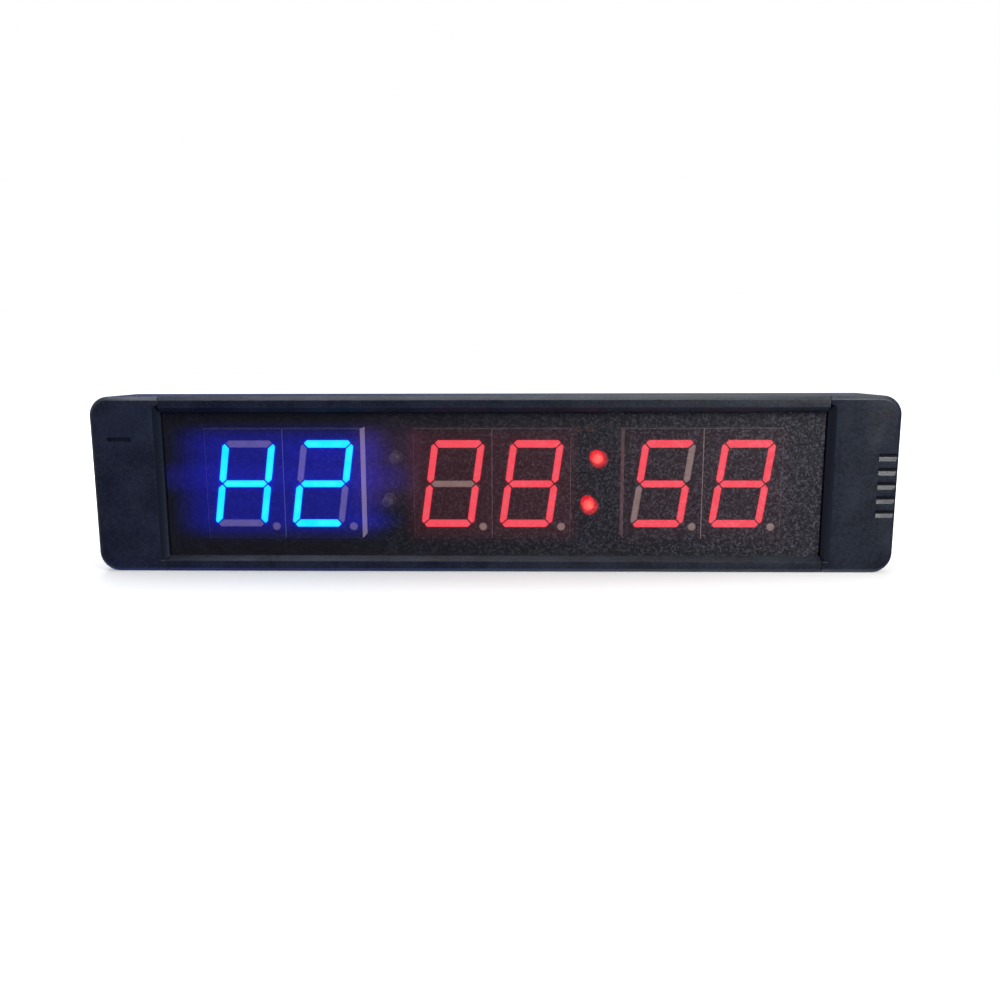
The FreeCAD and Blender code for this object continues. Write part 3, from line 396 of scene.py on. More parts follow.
def bar_outlines():
    """Outlines in mm about a figure's centre, before its slant, keyed by the bars' usual letters."""
    w, h = FIGURE_W / 2, FIGURE_H / 2
    step = BAR_GAP / math.sqrt(2)
    run = (BAR_H + BAR_V + step - CHAMFER) / 2
    half_v, half_m = BAR_V / 2, BAR_MID / 2
    level = np.array([(-w + BAR_V + step, h - BAR_H), (-w + BAR_V + step - run, h - BAR_H + run),
                      (-w + CHAMFER, h), (w - CHAMFER, h),
                      (w - BAR_V - step + run, h - BAR_H + run), (w - BAR_V - step, h - BAR_H)])
    upright = np.array([(w - half_v, step), (w - BAR_V, step + half_v), (w - BAR_V, h - BAR_H - step),
                        (w - BAR_V + run, h - BAR_H - step + run), (w, h - CHAMFER), (w, step + half_v)])
    tip = w - half_v - step
    middle = np.array([(-tip, 0), (-tip + half_m, half_m), (tip - half_m, half_m),
                       (tip, 0), (tip - half_m, -half_m), (-tip + half_m, -half_m)])
    flip_x, flip_z = np.array([-1, 1]), np.array([1, -1])
    outlines = {"a": level, "d": (level * flip_z)[::-1], "g": middle,
                "b": upright, "f": (upright * flip_x)[::-1],
                "c": (upright * flip_z)[::-1], "e": upright * flip_x * flip_z}
    return {k: v + np.outer(v[:, 1], (SLANT, 0)) for k, v in outlines.items()}


def rounded_outline(corners, radius, steps=4):
    """Polygon with rounded corners: at each corner an arc from one tangent point to the other."""
    before, after = np.roll(corners, 1, 0) - corners, np.roll(corners, -1, 0) - corners
    before /= np.linalg.norm(before, axis=1, keepdims=True)
    after /= np.linalg.norm(after, axis=1, keepdims=True)
    half = np.arccos(np.clip((before * after).sum(1), -1, 1)) / 2
    middle = before + after
    middle /= np.linalg.norm(middle, axis=1, keepdims=True)
    centre = corners + middle * (radius / np.sin(half))[:, None]
    start = corners + before * (radius / np.tan(half))[:, None] - centre
    end = corners + after * (radius / np.tan(half))[:, None] - centre
    turn = (np.pi - 2 * half)[:, None]
    t = np.linspace(0, 1, steps)[None, :]
    weight_a, weight_b = np.sin((1 - t) * turn) / np.sin(turn), np.sin(t * turn) / np.sin(turn)
    arc = centre[:, None] + start[:, None] * weight_a[..., None] + end[:, None] * weight_b[..., None]
    return arc.reshape(-1, 2)


def bar_spine(letter, corners):
    """Ends of a bar's middle line: its length less its width, along the way the bar lies."""
    level = letter in "adg"
    width = (BAR_MID if letter == "g" else BAR_H) if level else BAR_V
    middle = (corners.max(0) + corners.min(0)) / 2
    tilt = np.array([1.0, 0.0]) if level else np.array([SLANT, 1.0])
    reach = tilt * (np.ptp(corners[:, 0 if level else 1]) - width) / 2
    return middle - reach, middle + reach


print("bar a runs from x", bar_outlines()["a"][:, 0].min().round(2), "mm")

# %% [markdown]
# ## One light guide as rings
#
# A guide is a solid shaft of cast epoxy, and its face sets with a shallow bowl. It could be extruded
# from its outline, but then its face is one flat polygon and no vertex knows how far in it is. Rings
# that close in on the bar's middle line give both the bowl and the stored depth.

# %% One light guide as rings
LAST_RING = 0.97        # how far in the last ring lies, where 1 is the spine itself


def guide_rings(outline, spine, offset, rings=7, sag_mm=0.06):
    """Vertices of one guide: the back outline, then rings at the face that close in on the spine.

    A face point is q + (p - q) * (1 - t), where p is on the outline, q is the nearest point of the
    spine and t goes from 0 at the rim to LAST_RING. The face sinks by sag * t * (2 - t), a shallow bowl.
    """
    a, b = spine
    along = b - a
    reach = np.clip(((outline - a) @ along) / max(along @ along, 1e-9), 0, 1)[:, None]
    nearest = a + reach * along
    t = np.linspace(0, LAST_RING, rings)[:, None, None]
    face = nearest + (outline - nearest) * (1 - t)
    sink = np.broadcast_to(sag_mm * t * (2 - t), face.shape[:2] + (1,))
    front = np.concatenate([face[..., :1] * MM, FACE_Y + sink * MM, face[..., 1:] * MM], 2)
    back = np.stack([outline[:, 0] * MM, np.full(len(outline), GUIDE_BACK_Y), outline[:, 1] * MM], 1)
    shift = np.array([offset.x, 0, offset.z])
    depth = np.concatenate([np.zeros(len(outline)), np.repeat(t.ravel(), len(outline))])
    return np.concatenate([back[None], front]).reshape(-1, 3) + shift, depth


def ring_faces(rings, count, first):
    """Quads between neighbouring rings and one flat face at each end, all facing outwards."""
    i = np.arange(count)
    j = (i + 1) % count
    quads = np.concatenate([np.stack([r * count + i, r * count + j, (r + 1) * count + j,
                                      (r + 1) * count + i], 1) for r in range(rings - 1)]) + first
    caps = [(i[::-1] + first).tolist(), (i + first + (rings - 1) * count).tolist()]
    return quads.tolist() + caps


def light_guides(name, digit, letters, with_point, like):
    """One piece with the guides of the given bars, and the decimal point if asked."""
    outlines = bar_outlines()
    shapes = []
    for letter in letters:
        corners = outlines[letter]
        shapes.append((rounded_outline(corners, ROUND), bar_spine(letter, corners)))
    if with_point:
        angle = np.linspace(0, 2 * np.pi, 40, endpoint=False)
        circle = np.array(POINT_PLACE) + POINT_R * np.stack([np.cos(angle), np.sin(angle)], 1)
        # a spine of almost no length stands for the middle of the point
        shapes.append((circle, (np.array(POINT_PLACE), np.array(POINT_PLACE) + (0.001, 0))))
    points, depths, faces, used = [], [], [], 0
    for outline, spine in shapes:
        x, z = outline.T
        area = np.sum(x * np.roll(z, -1) - np.roll(x, -1) * z)
        outline = outline if area > 0 else outline[::-1]
        co, depth = guide_rings(outline, spine, CENTRE[digit])
        faces += ring_faces(len(co) // len(outline), len(outline), used)
        points.append(co)
        depths.append(depth)
        used += len(co)
    mesh = bpy.data.meshes.new(name)
    mesh.from_pydata(np.concatenate(points).tolist(), [], faces)
    mesh.attributes.new("depth_in", "FLOAT", "POINT").data.foreach_set("value", np.concatenate(depths))
    mesh.update()
    piece = bpy.data.objects.new(name, mesh)
    bpy.context.scene.collection.objects.link(piece)
    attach(piece, BODY_OF[like])
    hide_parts(like)
    return piece


bar_a = bar_outlines()["a"]
rings_a, depth_a = guide_rings(rounded_outline(bar_a, ROUND), bar_spine("a", bar_a), CENTRE[1])
print("bar a has", len(rings_a), "vertices, the deepest", depth_a.max(), "of the way in")

# %% [markdown]
# ## Lit and unlit epoxy
#
# A lit guide is so bright that the eye sees little but its colour: rose-red for most figures, and
# cyan for the first pair, where a blue die washes out at the core. Its rim is deeper in colour. An
# unlit guide is the bare milky epoxy, a warm grey behind the tinted window. The rim is narrow, so a
# sharp ramp over the stored depth makes it.

# %% Finish: epoxy light guides
def lit_epoxy(name, rim, body, core, strength):
    """Glowing epoxy: rim colour at depth 0, body from depth 0.14, core colour towards the spine."""
    material, tree, shader = new_finish(name, Roughness=0.35, IOR=1.5, Base_Color=body,
                                        Emission_Strength=strength)
    point = add(tree, "TexCoord", out="Object")
    depth = add(tree, "Attribute", out="Fac", attribute_name="depth_in")
    edge = add(tree, "MapRange", {"Value": depth, "From Min": 0.0, "From Max": 0.14})
    heart = add(tree, "MapRange", {"Value": depth, "From Min": 0.0, "From Max": 1.0, "To Min": 0.3})
    cloud = add(tree, "TexNoise", {"Vector": point, "Scale": cells(3.0), "Detail": 2.0})
    patchy = add(tree, "MapRange", {"Value": cloud, "From Min": 0.3, "From Max": 0.7})
    washed = add(tree, "Math", {0: heart, 1: patchy}, operation="MULTIPLY")
    inner = add(tree, "Mix", {0: washed, 6: body, 7: core}, out=2, data_type="RGBA")
    light = add(tree, "Mix", {0: edge, 6: rim, 7: inner}, out=2, data_type="RGBA")
    wire(shader, {"Emission Color": light})
    return material


def unlit_epoxy(name, stray, strength):
    """Milky epoxy with faint clouds, shaded at its rim and filled by its neighbours' stray light."""
    material, tree, shader = new_finish(name, Roughness=0.45, IOR=1.5, Emission_Strength=strength)
    point = add(tree, "TexCoord", out="Object")
    depth = add(tree, "Attribute", out="Fac", attribute_name="depth_in")
    cloud = add(tree, "TexNoise", {"Vector": point, "Scale": cells(2.0), "Detail": 3.0})
    misty = add(tree, "MapRange", {"Value": cloud, "From Min": 0.3, "From Max": 0.7})
    inside = add(tree, "MapRange", {"Value": depth, "From Min": 0.0, "From Max": 0.3})
    milky = add(tree, "Mix", {0: misty, 6: "#c8b8b0", 7: "#d8c8c0"}, out=2, data_type="RGBA")
    base = add(tree, "Mix", {0: inside, 6: "#8a7c76", 7: milky}, out=2, data_type="RGBA")
    even = add(tree, "MapRange", {"Value": misty, "To Min": 0.9, "To Max": 1.1})
    fill = add(tree, "Math", {0: inside, 1: even}, operation="MULTIPLY")
    light = add(tree, "Mix", {0: fill, 6: "#000000", 7: stray}, out=2, data_type="RGBA")
    cast = add(tree, "TexNoise", {"Vector": point, "Scale": cells(1.2), "Detail": 2.0})
    skin = add(tree, "Bump", {"Height": cast, "Distance": 0.02 * MM, "Strength": 0.6})
    wire(shader, {"Base Color": base, "Emission Color": light, "Normal": skin})
    return material


LIT_RED = lit_epoxy("epoxy_lit_red", "#e00010", "#ff4856", "#ff5a6a", 2.3)      # rose, red rim
LIT_BLUE = lit_epoxy("epoxy_lit_blue", "#0048ff", "#00eaff", "#30ffff", 2.8)     # cyan, blue rim
UNLIT_BY_RED = unlit_epoxy("epoxy_milky_beside_red", "#b09084", 1.05)            # warm grey
UNLIT_BY_BLUE = unlit_epoxy("epoxy_milky_beside_blue", "#8a7a8c", 0.8)           # violet grey
print("epoxy finishes:", LIT_RED.name, LIT_BLUE.name, UNLIT_BY_RED.name, UNLIT_BY_BLUE.name)

# %% [markdown]
# ## Building the guides
#
# A digit's bars are cast in one go, but some are lit and some aren't. They could be one piece with two
# finishes. Two pieces are chosen, one for the lit bars and one for the rest with the decimal point,
# because the frame keeps them apart too, and then each has one finish and stands for one node.

# %% Build the guides
for digit, lit in LIT_FIGURES.items():
    unlit = "".join(k for k in "abcdefg" if k not in lit)
    bright = light_guides("digit_%d_lit_guides" % digit, digit, lit, False,
                          "digit_%d_lit_segments" % digit)
    dress(bright, LIT_BLUE if digit < 3 else LIT_RED)
    faint = light_guides("digit_%d_unlit_guides" % digit, digit, unlit, True,
                         "digit_%d_unlit_segments" % digit)
    dress(faint, UNLIT_BY_BLUE if digit < 3 else UNLIT_BY_RED)
    print("digit", digit, "lit", lit, "faces", len(bright.data.polygons) + len(faint.data.polygons))

# %% [markdown]
# ## Digit shells
#
# A digit shell is white plastic, and only its face is printed with matt black ink. The pale sides and
# the tiny chamfer round the face show through the window as thin bright lines. The CAD mesh is kept,
# and the material tells face from side by the way a surface points: the ink lies where it looks
# straight to the front. Light also creeps out of each lit bar into the ink beside it. That needs the
# distance to the nearest lit bar, so the nodes measure it: the point is dropped on to each bar's
# middle line, and the shortest drop wins.

# %% Distance to the nearest lit bar
def lit_bar_distance(tree, point, digit, letters):
    """Output: distance in metres from a surface point to the nearest middle line of the given bars.

    For a line from a to b, t = (p - a).(b - a) / |b - a|^2 held between 0 and 1, and the distance
    is |p - a - t (b - a)|, with depth left out of p.
    """
    flat = add(tree, "VectorMath", {0: point, 1: (1, 0, 1)}, operation="MULTIPLY")
    shortest = None
    for letter, corners in bar_outlines().items():
        if letter not in letters:
            continue
        a, b = (CENTRE[digit] + Vector((x, 0, z)) * MM for x, z in bar_spine(letter, corners))
        a.y = b.y = 0
        span = b - a
        rel = add(tree, "VectorMath", {0: flat, 1: a}, operation="SUBTRACT")
        dot = add(tree, "VectorMath", {0: rel, 1: span / span.length_squared}, out="Value",
                  operation="DOT_PRODUCT")
        held = add(tree, "Math", {0: dot, 1: 0.0}, operation="ADD", use_clamp=True)
        foot = add(tree, "VectorMath", {0: span, "Scale": held}, operation="SCALE")
        gap = add(tree, "VectorMath", {0: rel, 1: foot}, out="Value", operation="DISTANCE")
        shortest = add(tree, "Math", {0: shortest, 1: gap}, operation="MINIMUM") if shortest else gap
    return shortest


print("bars measured to in the first digit:", LIT_FIGURES[1])

# %% Finish: white shell with an inked face
INK_GLOW = {"blue": ((0.0, "#0030f0"), (0.2, "#000cc0"), (0.5, "#000250"), (1.0, "#000000")),
            "red": ((0.0, "#a00c16"), (0.2, "#40060a"), (0.5, "#140204"), (1.0, "#000000"))}
GLOW_REACH, BAR_EDGE = 1.5, 1.6     # mm from the edge of a bar, and from its middle line to its edge
# light that leaks from each module's left side and right side
SIDE_LIGHT = {1: ("#4c4858", "#303860"), 2: ("#303860", "#a08ea2"), 3: ("#4c4444", "#4c4444"),
              4: ("#4c4444", "#4c4444"), 5: ("#7a6c6a", "#e0c0b8"), 6: ("#e0c0b8", "#4c4444")}
FRONTWARD = -0.95       # a surface whose normal has less than this along Y faces the front


def inked_shell(digit, colour, strength):
    """White plastic, black ink on the face, and the glow that creeps from the lit bars."""
    material, tree, shader = new_finish("abs_white_inked_face_digit_%d" % digit, IOR=1.5)
    point = add(tree, "TexCoord", out="Object")
    tilt_x = add(tree, "SeparateXYZ", {0: add(tree, "NewGeometry", out="True Normal")})
    ahead = add(tree, "Math", {0: tilt_x.node.outputs[1], 1: FRONTWARD}, operation="LESS_THAN")
    fine = add(tree, "TexNoise", {"Vector": point, "Scale": cells(1.0), "Detail": 3.0})
    slow = add(tree, "TexNoise", {"Vector": point, "Scale": cells(6.0), "Detail": 2.0})
    ink = add(tree, "Mix", {0: fine, 6: "#120d0c", 7: "#1f1816"}, out=2, data_type="RGBA")
    pale = add(tree, "Mix", {0: slow, 6: "#c2b7b0", 7: "#dad0ca"}, out=2, data_type="RGBA")
    base = add(tree, "Mix", {0: ahead, 6: pale, 7: ink}, out=2, data_type="RGBA")
    roughness = add(tree, "MapRange", {"Value": ahead, "To Min": 0.5, "To Max": 0.8})
    rag = add(tree, "TexNoise", {"Vector": point, "Scale": cells(0.5), "Detail": 2.0, "Roughness": 0.7})
    ragged = add(tree, "MapRange", {"Value": rag, "From Min": 0.3, "From Max": 0.7,
                                    "To Min": -0.25 * MM, "To Max": 0.25 * MM})
    gap = lit_bar_distance(tree, point, digit, LIT_FIGURES[digit])
    away = add(tree, "Math", {0: gap, 1: ragged}, operation="ADD")
    reach = add(tree, "MapRange", {"Value": away, "From Min": BAR_EDGE * MM,
                                   "From Max": (BAR_EDGE + GLOW_REACH) * MM})
    creep = add(tree, "ValToRGB", {0: reach}, stops=INK_GLOW[colour])
    sideways = add(tree, "Math", {0: tilt_x}, operation="ABSOLUTE")
    rightward = add(tree, "Math", {0: tilt_x, 1: 0.0}, operation="GREATER_THAN")
    left_code, right_code = SIDE_LIGHT[digit]
    stray = add(tree, "Mix", {0: rightward, 6: left_code, 7: right_code}, out=2, data_type="RGBA")
    leak = add(tree, "Mix", {0: sideways, 6: "#000000", 7: stray}, out=2, data_type="RGBA")
    light = add(tree, "Mix", {0: ahead, 6: leak, 7: creep}, out=2, data_type="RGBA")
    skin = add(tree, "Bump", {"Height": rag, "Distance": 0.02 * MM, "Strength": 0.7})
    wire(shader, {"Base Color": base, "Roughness": roughness, "Normal": skin,
                  "Emission Color": light, "Emission Strength": strength})
    return material


for digit in DIGITS:        # matt black face in a pale rim; the first pair's ink is flooded with blue
    colour, strength = ("blue", 1.2) if digit < 3 else ("red", 0.5)
    dress(NODES["digit_%d_shell" % digit], inked_shell(digit, colour, strength))
print("shells dressed:", len(DIGITS))

# %% [markdown]
# ## Lenses
#
# The window has two colons of two 5 mm lamps each, and only the right one is lit. An infrared receiver
# sits at the right end. Each has a lens of moulded epoxy: clear, red or nearly black. A lit one could
# have one plain glow, but the die sits behind the tip and makes it hottest there, so the light grows
# towards the tip. Faint swirls in the epoxy keep the glow from looking painted on.

# %% Finishes: lenses
LENS_TIP_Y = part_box("colon_led_upper_right")[0].y
LENS_GLOW_DEPTH = 1.9 * MM


def lens_epoxy(name, dark, light, rim=None, core=None, strength=0.0):
    """Moulded LED epoxy with faint swirls; a lit one glows more towards its tip."""
    material, tree, shader = new_finish(name, Roughness=0.12, IOR=1.5, Emission_Strength=strength)
    point = add(tree, "TexCoord", out="Object")
    swirl = add(tree, "TexNoise", {"Vector": point, "Scale": cells(1.5), "Detail": 2.0})
    tone = add(tree, "MapRange", {"Value": swirl, "From Min": 0.3, "From Max": 0.7})
    base = add(tree, "Mix", {0: tone, 6: dark, 7: light}, out=2, data_type="RGBA")
    skin = add(tree, "Bump", {"Height": swirl, "Distance": 0.02 * MM, "Strength": 0.4})
    wire(shader, {"Base Color": base, "Normal": skin})
    if core:
        x = add(tree, "SeparateXYZ", {0: point})
        heart = add(tree, "MapRange", {"Value": x.node.outputs[1], "From Min": LENS_TIP_Y,
                                       "From Max": LENS_TIP_Y + LENS_GLOW_DEPTH,
                                       "To Min": 1.0, "To Max": 0.0})
        patchy = add(tree, "MapRange", {"Value": tone, "To Min": 0.75, "To Max": 1.1})
        lively = add(tree, "Math", {0: heart, 1: patchy}, operation="MULTIPLY")
        light = add(tree, "Mix", {0: lively, 6: rim, 7: core}, out=2, data_type="RGBA")
        wire(shader, {"Emission Color": light})
    return material


# a hot core in a deep rim, then pale and glassy, then smoky and glossy
COLON_LIT = lens_epoxy("epoxy_lens_red_lit", "#7a0a10", "#9a1018", "#c00010", "#ff6e5c", 2.8)
COLON_CLEAR = lens_epoxy("epoxy_lens_clear_unlit", "#948a90", "#b4a8ae")
IR_EPOXY = lens_epoxy("epoxy_infrared_dark", "#2a1d1e", "#3b2a2c")
print("lenses glow from y", round(LENS_TIP_Y / MM, 2), "mm back over", LENS_GLOW_DEPTH / MM, "mm")

# %% [markdown]
# ## Boards, wire, metal and mouldings
#
# The rest of the parts sit behind the window or behind the openings in the back: solder-masked
# laminate, tinned wire, zinc-plated screws, chips, switches and buttons. They could share one dark grey
# and one silver, but each shows when the timer is taken apart, so each gets the finish that the real
# one has. Three recipes cover them. Laminate shows its weave, small mouldings have two close tones, and
# worked metal has marks drawn out along one direction.

# %% Finishes: board, wire, metal and plain mouldings
WAVE_PERIOD = 0.314     # metres between the waves of a wave texture whose scale is 1


def laminate(name, dark, light, weave_mm=0.7):
    """Solder-masked glass laminate: two crossed sine waves, multiplied, show the weave of threads."""
    material, tree, shader = new_finish(name, Roughness=0.35, IOR=1.55)
    point = add(tree, "TexCoord", out="Object")
    thread = {"Vector": point, "Scale": WAVE_PERIOD / (weave_mm * MM), "Distortion": 0.4}
    across = add(tree, "TexWave", thread, out="Fac", bands_direction="X")
    upward = add(tree, "TexWave", thread, out="Fac", bands_direction="Z")
    weave = add(tree, "Math", {0: across, 1: upward}, operation="MULTIPLY")
    base = add(tree, "Mix", {0: weave, 6: dark, 7: light}, out=2, data_type="RGBA")
    cloth = add(tree, "Bump", {"Height": weave, "Distance": 0.02 * MM, "Strength": 0.6})
    wire(shader, {"Base Color": base, "Normal": cloth})
    return material


def plain_moulding(name, dark, light, rough=0.5, grain_mm=0.5):
    """Small moulded part: two close tones and a fine skin."""
    material, tree, shader = new_finish(name, IOR=1.5)
    point = add(tree, "TexCoord", out="Object")
    slow = add(tree, "TexNoise", {"Vector": point, "Scale": cells(2.0), "Detail": 3.0})
    fine = add(tree, "TexNoise", {"Vector": point, "Scale": cells(grain_mm), "Detail": 2.0})
    tone = add(tree, "MapRange", {"Value": slow, "From Min": 0.3, "From Max": 0.7})
    base = add(tree, "Mix", {0: tone, 6: dark, 7: light}, out=2, data_type="RGBA")
    roughness = add(tree, "MapRange", {"Value": fine, "From Min": 0.3, "From Max": 0.7,
                                       "To Min": rough - 0.06, "To Max": rough + 0.06})
    skin = add(tree, "Bump", {"Height": fine, "Distance": 0.02 * MM, "Strength": 0.7})
    wire(shader, {"Base Color": base, "Roughness": roughness, "Normal": skin})
    return material


def worked_metal(name, dark, light, rough=0.3, drawn=(8, 1, 1)):
    """Plated or drawn metal with marks 0.3 mm wide, pulled long by three factors along X, Y and Z."""
    material, tree, shader = new_finish(name, Metallic=1.0)
    point = add(tree, "TexCoord", out="Object")
    pulled = add(tree, "Mapping", {"Vector": point, "Scale": [1 / d for d in drawn]})
    marks = add(tree, "TexNoise", {"Vector": pulled, "Scale": cells(0.3), "Detail": 3.0,
                                   "Roughness": 0.6})
    tone = add(tree, "MapRange", {"Value": marks, "From Min": 0.3, "From Max": 0.7})
    base = add(tree, "Mix", {0: tone, 6: dark, 7: light}, out=2, data_type="RGBA")
    roughness = add(tree, "MapRange", {"Value": tone, "To Min": rough - 0.08, "To Max": rough + 0.12})
    lines = add(tree, "Bump", {"Height": marks, "Distance": 0.01 * MM, "Strength": 0.5})
    wire(shader, {"Base Color": base, "Roughness": roughness, "Normal": lines})
    return material


FINISHES = {
    # black zinc is a dark grey mirror, dulled by the plating
    "screw_steel": worked_metal("steel_black_zinc_plated", "#5a5b5f", "#7a7b80", 0.32, (3, 3, 3)),
    # black mask over the weave, slightly glossy; the digits' own boards are masked white
    "board_laminate": laminate("laminate_black_solder_mask", "#101112", "#17191a"),
    "carrier_laminate": laminate("laminate_white_solder_mask", "#c9c6bb", "#d8d5ca", 0.5),
    # a bare die glints straw yellow
    "led_die": plain_moulding("gallium_die", "#c8b070", "#d8c488", 0.3, 0.1),
    # tin is bright and slightly warm, drawn along the wire
    "tinned_wire": worked_metal("wire_tinned", "#a4a4a0", "#bfbfba", 0.3, (1, 6, 1)),
    # chip epoxy is a dull charcoal with a sandy skin
    "chip_epoxy": plain_moulding("epoxy_chip_package", "#151516", "#1d1d1f", 0.55, 0.25),
    # a drawn can has fine lines down its side
    "can_metal": worked_metal("aluminium_drawn_can", "#b8babd", "#cccdd0", 0.28, (1, 8, 1)),
    # satin black
    "holder_plastic": plain_moulding("nylon_cell_holder", "#161617", "#1e1e20"),
    # a stamped cell is satin, brushed one way
    "cell_steel": worked_metal("steel_stamped_cell", "#b6b6b4", "#cacac8", 0.3, (4, 1, 4)),
    # glazed black
    "resistor_ceramic": plain_moulding("ceramic_resistor", "#121213", "#1c1c1e", 0.3, 0.2),
    # fired tan
    "capacitor_tan": plain_moulding("ceramic_capacitor", "#a07a48", "#b88e58", 0.4, 0.3),
    # slightly shiny black
    "socket_plastic": plain_moulding("nylon_socket", "#101011", "#171718", 0.42),
    # nickel over brass stays a little yellow
    "socket_pin_metal": worked_metal("brass_nickel_plated", "#b9b3a4", "#cdc8ba", 0.22, (1, 4, 1)),
    # semi-gloss black
    "buzzer_plastic": plain_moulding("abs_buzzer_can", "#131314", "#1b1b1d", 0.45),
    # dull charcoal
    "switch_housing": plain_moulding("nylon_switch_housing", "#1c1c1e", "#262628"),
    # waxy white
    "slider_plastic": plain_moulding("acetal_white_slider", "#c6c6c2", "#d2d2ce", 0.4),
    # mid grey satin
    "button_plastic": plain_moulding("abs_grey_button", "#4a4c50", "#5a5c60", 0.45, 0.4),
    # dull black
    "plunger_plastic": plain_moulding("nylon_plunger", "#141415", "#1c1c1d"),
    "colon_lit": COLON_LIT,
    "colon_unlit": COLON_CLEAR,
    "ir_epoxy": IR_EPOXY,
}
for node, slot in SLOT_OF.items():
    if slot in FINISHES:
        dress(NODES[node], FINISHES[slot])
print("small-part finishes:", len(FINISHES))

# %% [markdown]
# ## Floor
#
# The timer stands on a white board that glows. It could be a big plane, but a disc of rings has no
# corner to show far away. Its glow is weak near the case and grows outwards, a painted shadow round the
# case on top of the lamps' contact shadow. The floor is kept out of reflections and of bounced light,
# because it would wash out the lower edge of a black case, and the room's lower half stands in for it.

# %% Floor
def pale_floor(radius=6.0, rings=11, sides=96):
    """Disc made of rings: a point is radius * t^2 at an angle, so the rings are finer in the middle."""
    t = (np.linspace(0, 1, rings + 1)[1:] ** 2 * radius)[:, None]
    angle = np.linspace(0, 2 * np.pi, sides, endpoint=False)[None, :]
    x, y = t * np.cos(angle), t * np.sin(angle)
    co = np.stack([x, y, np.zeros_like(x)], 2).reshape(-1, 3)
    mesh = bpy.data.meshes.new("floor")
    i = np.arange(sides)
    j = (i + 1) % sides
    quads = np.concatenate([np.stack([r * sides + i, (r + 1) * sides + i,
                                      (r + 1) * sides + j, r * sides + j], 1) for r in range(rings - 1)])
    mesh.from_pydata(co.tolist(), [], quads.tolist() + [i.tolist()])
    floor = bpy.data.objects.new("floor", mesh)
    bpy.context.scene.collection.objects.link(floor)
    return floor


def studio_white():
    """White board that glows: a little in an oval round the case, a painted shadow there, and more far
    out.
    """
    material, tree, shader = new_finish("white_floor_glow_painted_shadow", Roughness=0.7, Base_Color="#dedcd4",
                                        Emission_Color="#fffffc")
    point = add(tree, "TexCoord", out="Object")
    # painted shadow: the glow is weakest in an oval round the case and grows outwards
    squeezed = add(tree, "VectorMath", {0: point, 1: (0.3, 1, 0)}, operation="MULTIPLY")
    far = add(tree, "VectorMath", {0: squeezed}, out="Value", operation="LENGTH")
    lit = add(tree, "MapRange", {"Value": far, "From Min": 0.03, "From Max": 0.25,
                                 "To Min": 0.26, "To Max": 1.0})
    wire(shader, {"Emission Strength": lit})
    return material


floor = pale_floor()
dress(floor, studio_white())
floor.visible_glossy = False
floor.visible_diffuse = False
print("floor vertices:", len(floor.data.vertices))

# %% [markdown]
# ## Lamps
#
# Points or a sun would draw hard shadows, so soft boxes are used. A broad one hangs above, and the
# sloping top edge shines. A smaller one stands high in front, on the right, where the lips of the
# grooves mirror it. A third is close by on the right, and makes the frosted window sparkle at that end.
# A fourth lights the back, and isn't mirrored, because its image would glare on the top.

# %% Lamps
def soft_lamp(name, place, target, size, power, colour="#ffffff", glossy=True):
    """Rectangular lamp at a place, turned to a target, in metres; glossy lets it be mirrored."""
    data = bpy.data.lights.new(name, "AREA")
    data.shape = "RECTANGLE"
    data.size, data.size_y = size
    data.energy = power
    data.color = srgb(colour)[:3]
    lamp = bpy.data.objects.new(name, data)
    bpy.context.scene.collection.objects.link(lamp)
    lamp.location = place
    lamp.rotation_euler = (Vector(target) - Vector(place)).to_track_quat("-Z", "Y").to_euler()
    lamp.visible_camera = False
    lamp.visible_glossy = glossy
    return lamp


MIDDLE = (CAD_LOW + CAD_HIGH) / 2
soft_lamp("overhead", (-0.15, 0.3, 1.3), MIDDLE, (1.6, 1.2), 15.5)
soft_lamp("front_high", (0.75, -0.75, 0.95), (0.15, 0, 0.04), (0.5, 0.4), 4.6, "#f6f8ff")
soft_lamp("right_close", (0.35, -0.31, 0.35), (0.13, 0, 0.05), (0.2, 0.2), 1.3, "#fffdf8")
soft_lamp("behind", (-0.45, 1.0, 0.6), MIDDLE, (0.8, 0.5), 9.0, glossy=False)

# %% [markdown]
# ## Room
#
# The room is white to the camera, so that the backdrop stays clean, and dim to everything else, so that
# the black front keeps its depth. It could be a picture of a real room, but two ramps over the
# direction are enough. From left to right the first runs grey, blue, grey and a weaker blue, and those
# tints lie along the case. From down to up the second goes from bright, where the floor would be, to
# dim just below the horizon, and to a middle level from there up.

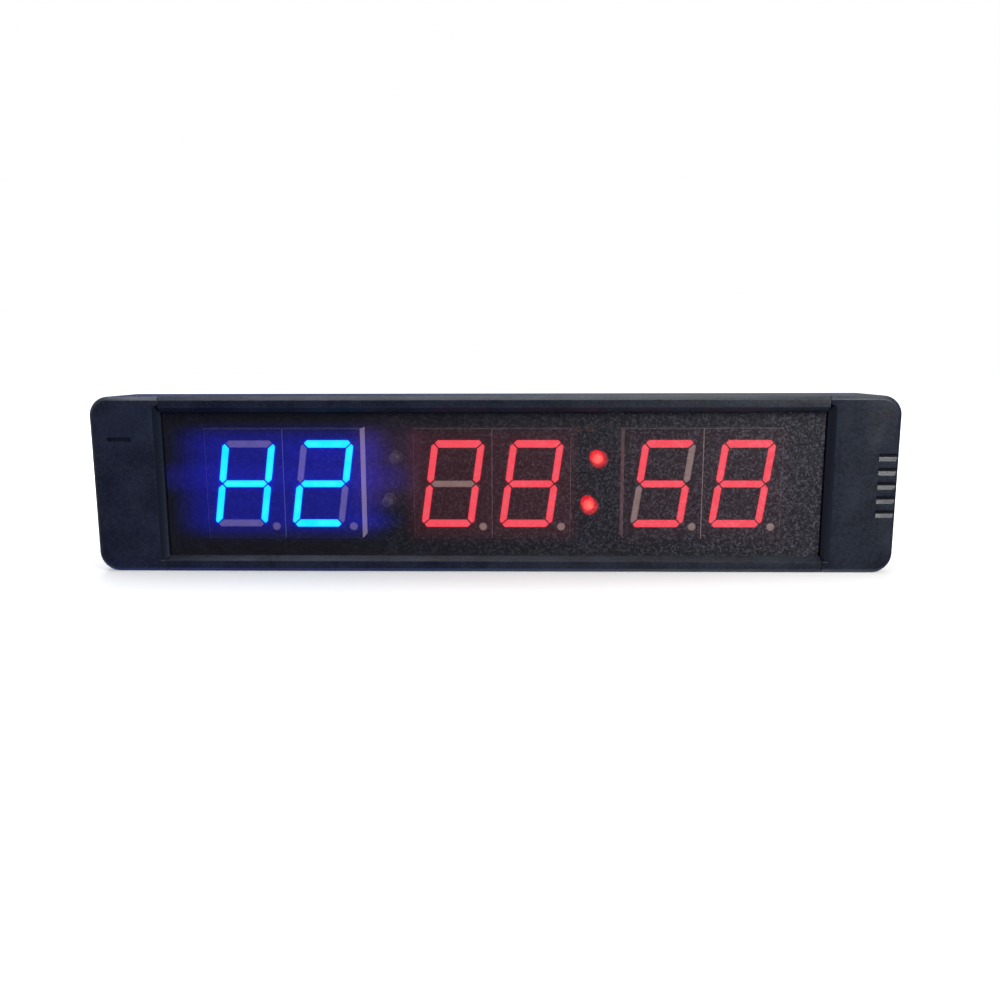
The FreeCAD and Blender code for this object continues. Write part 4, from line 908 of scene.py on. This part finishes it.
# %% Room
# Places run from 0, far left or straight down, to 1, far right or straight up. The colours are linear.
ROOM_COLOURS = ((0.0, (0.28, 0.28, 0.30, 1)), (0.1, (0.28, 0.28, 0.30, 1)),
                (0.26, (0.045, 0.075, 0.40, 1)), (0.42, (0.07, 0.10, 0.34, 1)),
                (0.62, (0.30, 0.32, 0.31, 1)), (0.85, (0.10, 0.12, 0.26, 1)))
ROOM_LEVELS = [(place, (level, level, level, 1))
               for place, level in ((0.0, 1.6), (0.2, 0.8), (0.38, 0.2), (0.52, 0.6), (1.0, 0.6))]
ROOM_GAIN = 2.0
world = bpy.data.worlds.new("room")
bpy.context.scene.world = world
world.use_nodes = True
room = world.node_tree
seen = add(room, "LightPath", out="Is Camera Ray")
along = add(room, "SeparateXYZ", {0: add(room, "TexCoord", out="Generated")})
across = add(room, "MapRange", {"Value": along, "From Min": -1.0, "From Max": 1.0})
height = add(room, "MapRange", {"Value": along.node.outputs[2], "From Min": -1.0, "From Max": 1.0})
tint = add(room, "ValToRGB", {0: across}, stops=ROOM_COLOURS)
level = add(room, "ValToRGB", {0: height}, stops=ROOM_LEVELS)
dim = add(room, "VectorMath", {0: tint, 1: level}, operation="MULTIPLY")
raised = add(room, "VectorMath", {0: dim, "Scale": ROOM_GAIN}, operation="SCALE")
shown = add(room, "Mix", {0: seen, 6: raised, 7: "#ffffff"}, out=2, data_type="RGBA")
wire(room.nodes["Background"], {"Color": shown})
print("room colours:", len(ROOM_COLOURS), "and levels:", len(ROOM_LEVELS))

# %% [markdown]
# ## Camera
#
# The camera stands in front, a little right of the middle, and looks down by nine degrees, so a strip
# of the top face shows. It could be aimed by a constraint, but a constraint can't give its slight roll.
# So its three directions are worked out from its angles and put into its matrix.

# %% Camera
LENS_MM = 30.555
CAMERA_PLACE = Vector((0.01113, -0.37452, 0.09038))
YAW, PITCH, ROLL = math.radians(1.217), math.radians(9.275), math.radians(-0.142)
forward = Vector((-math.sin(YAW) * math.cos(PITCH), math.cos(YAW) * math.cos(PITCH), -math.sin(PITCH)))
right = Vector((math.cos(YAW), math.sin(YAW), 0))
up = right.cross(forward)
turned_right = right * math.cos(ROLL) + up * math.sin(ROLL)
turned_up = up * math.cos(ROLL) - right * math.sin(ROLL)
camera = bpy.data.objects.new("camera", bpy.data.cameras.new("camera"))
bpy.context.scene.collection.objects.link(camera)
camera.data.lens = LENS_MM
camera.data.clip_start = 0.01
camera.matrix_world = Matrix.Translation(CAMERA_PLACE) @ Matrix((
    (turned_right.x, turned_up.x, -forward.x, 0), (turned_right.y, turned_up.y, -forward.y, 0),
    (turned_right.z, turned_up.z, -forward.z, 0), (0, 0, 0, 1)))
bpy.context.scene.camera = camera
bpy.context.scene.view_settings.view_transform = "Standard"
print("camera distance, mm:", round((CAMERA_PLACE - MIDDLE).length / MM))
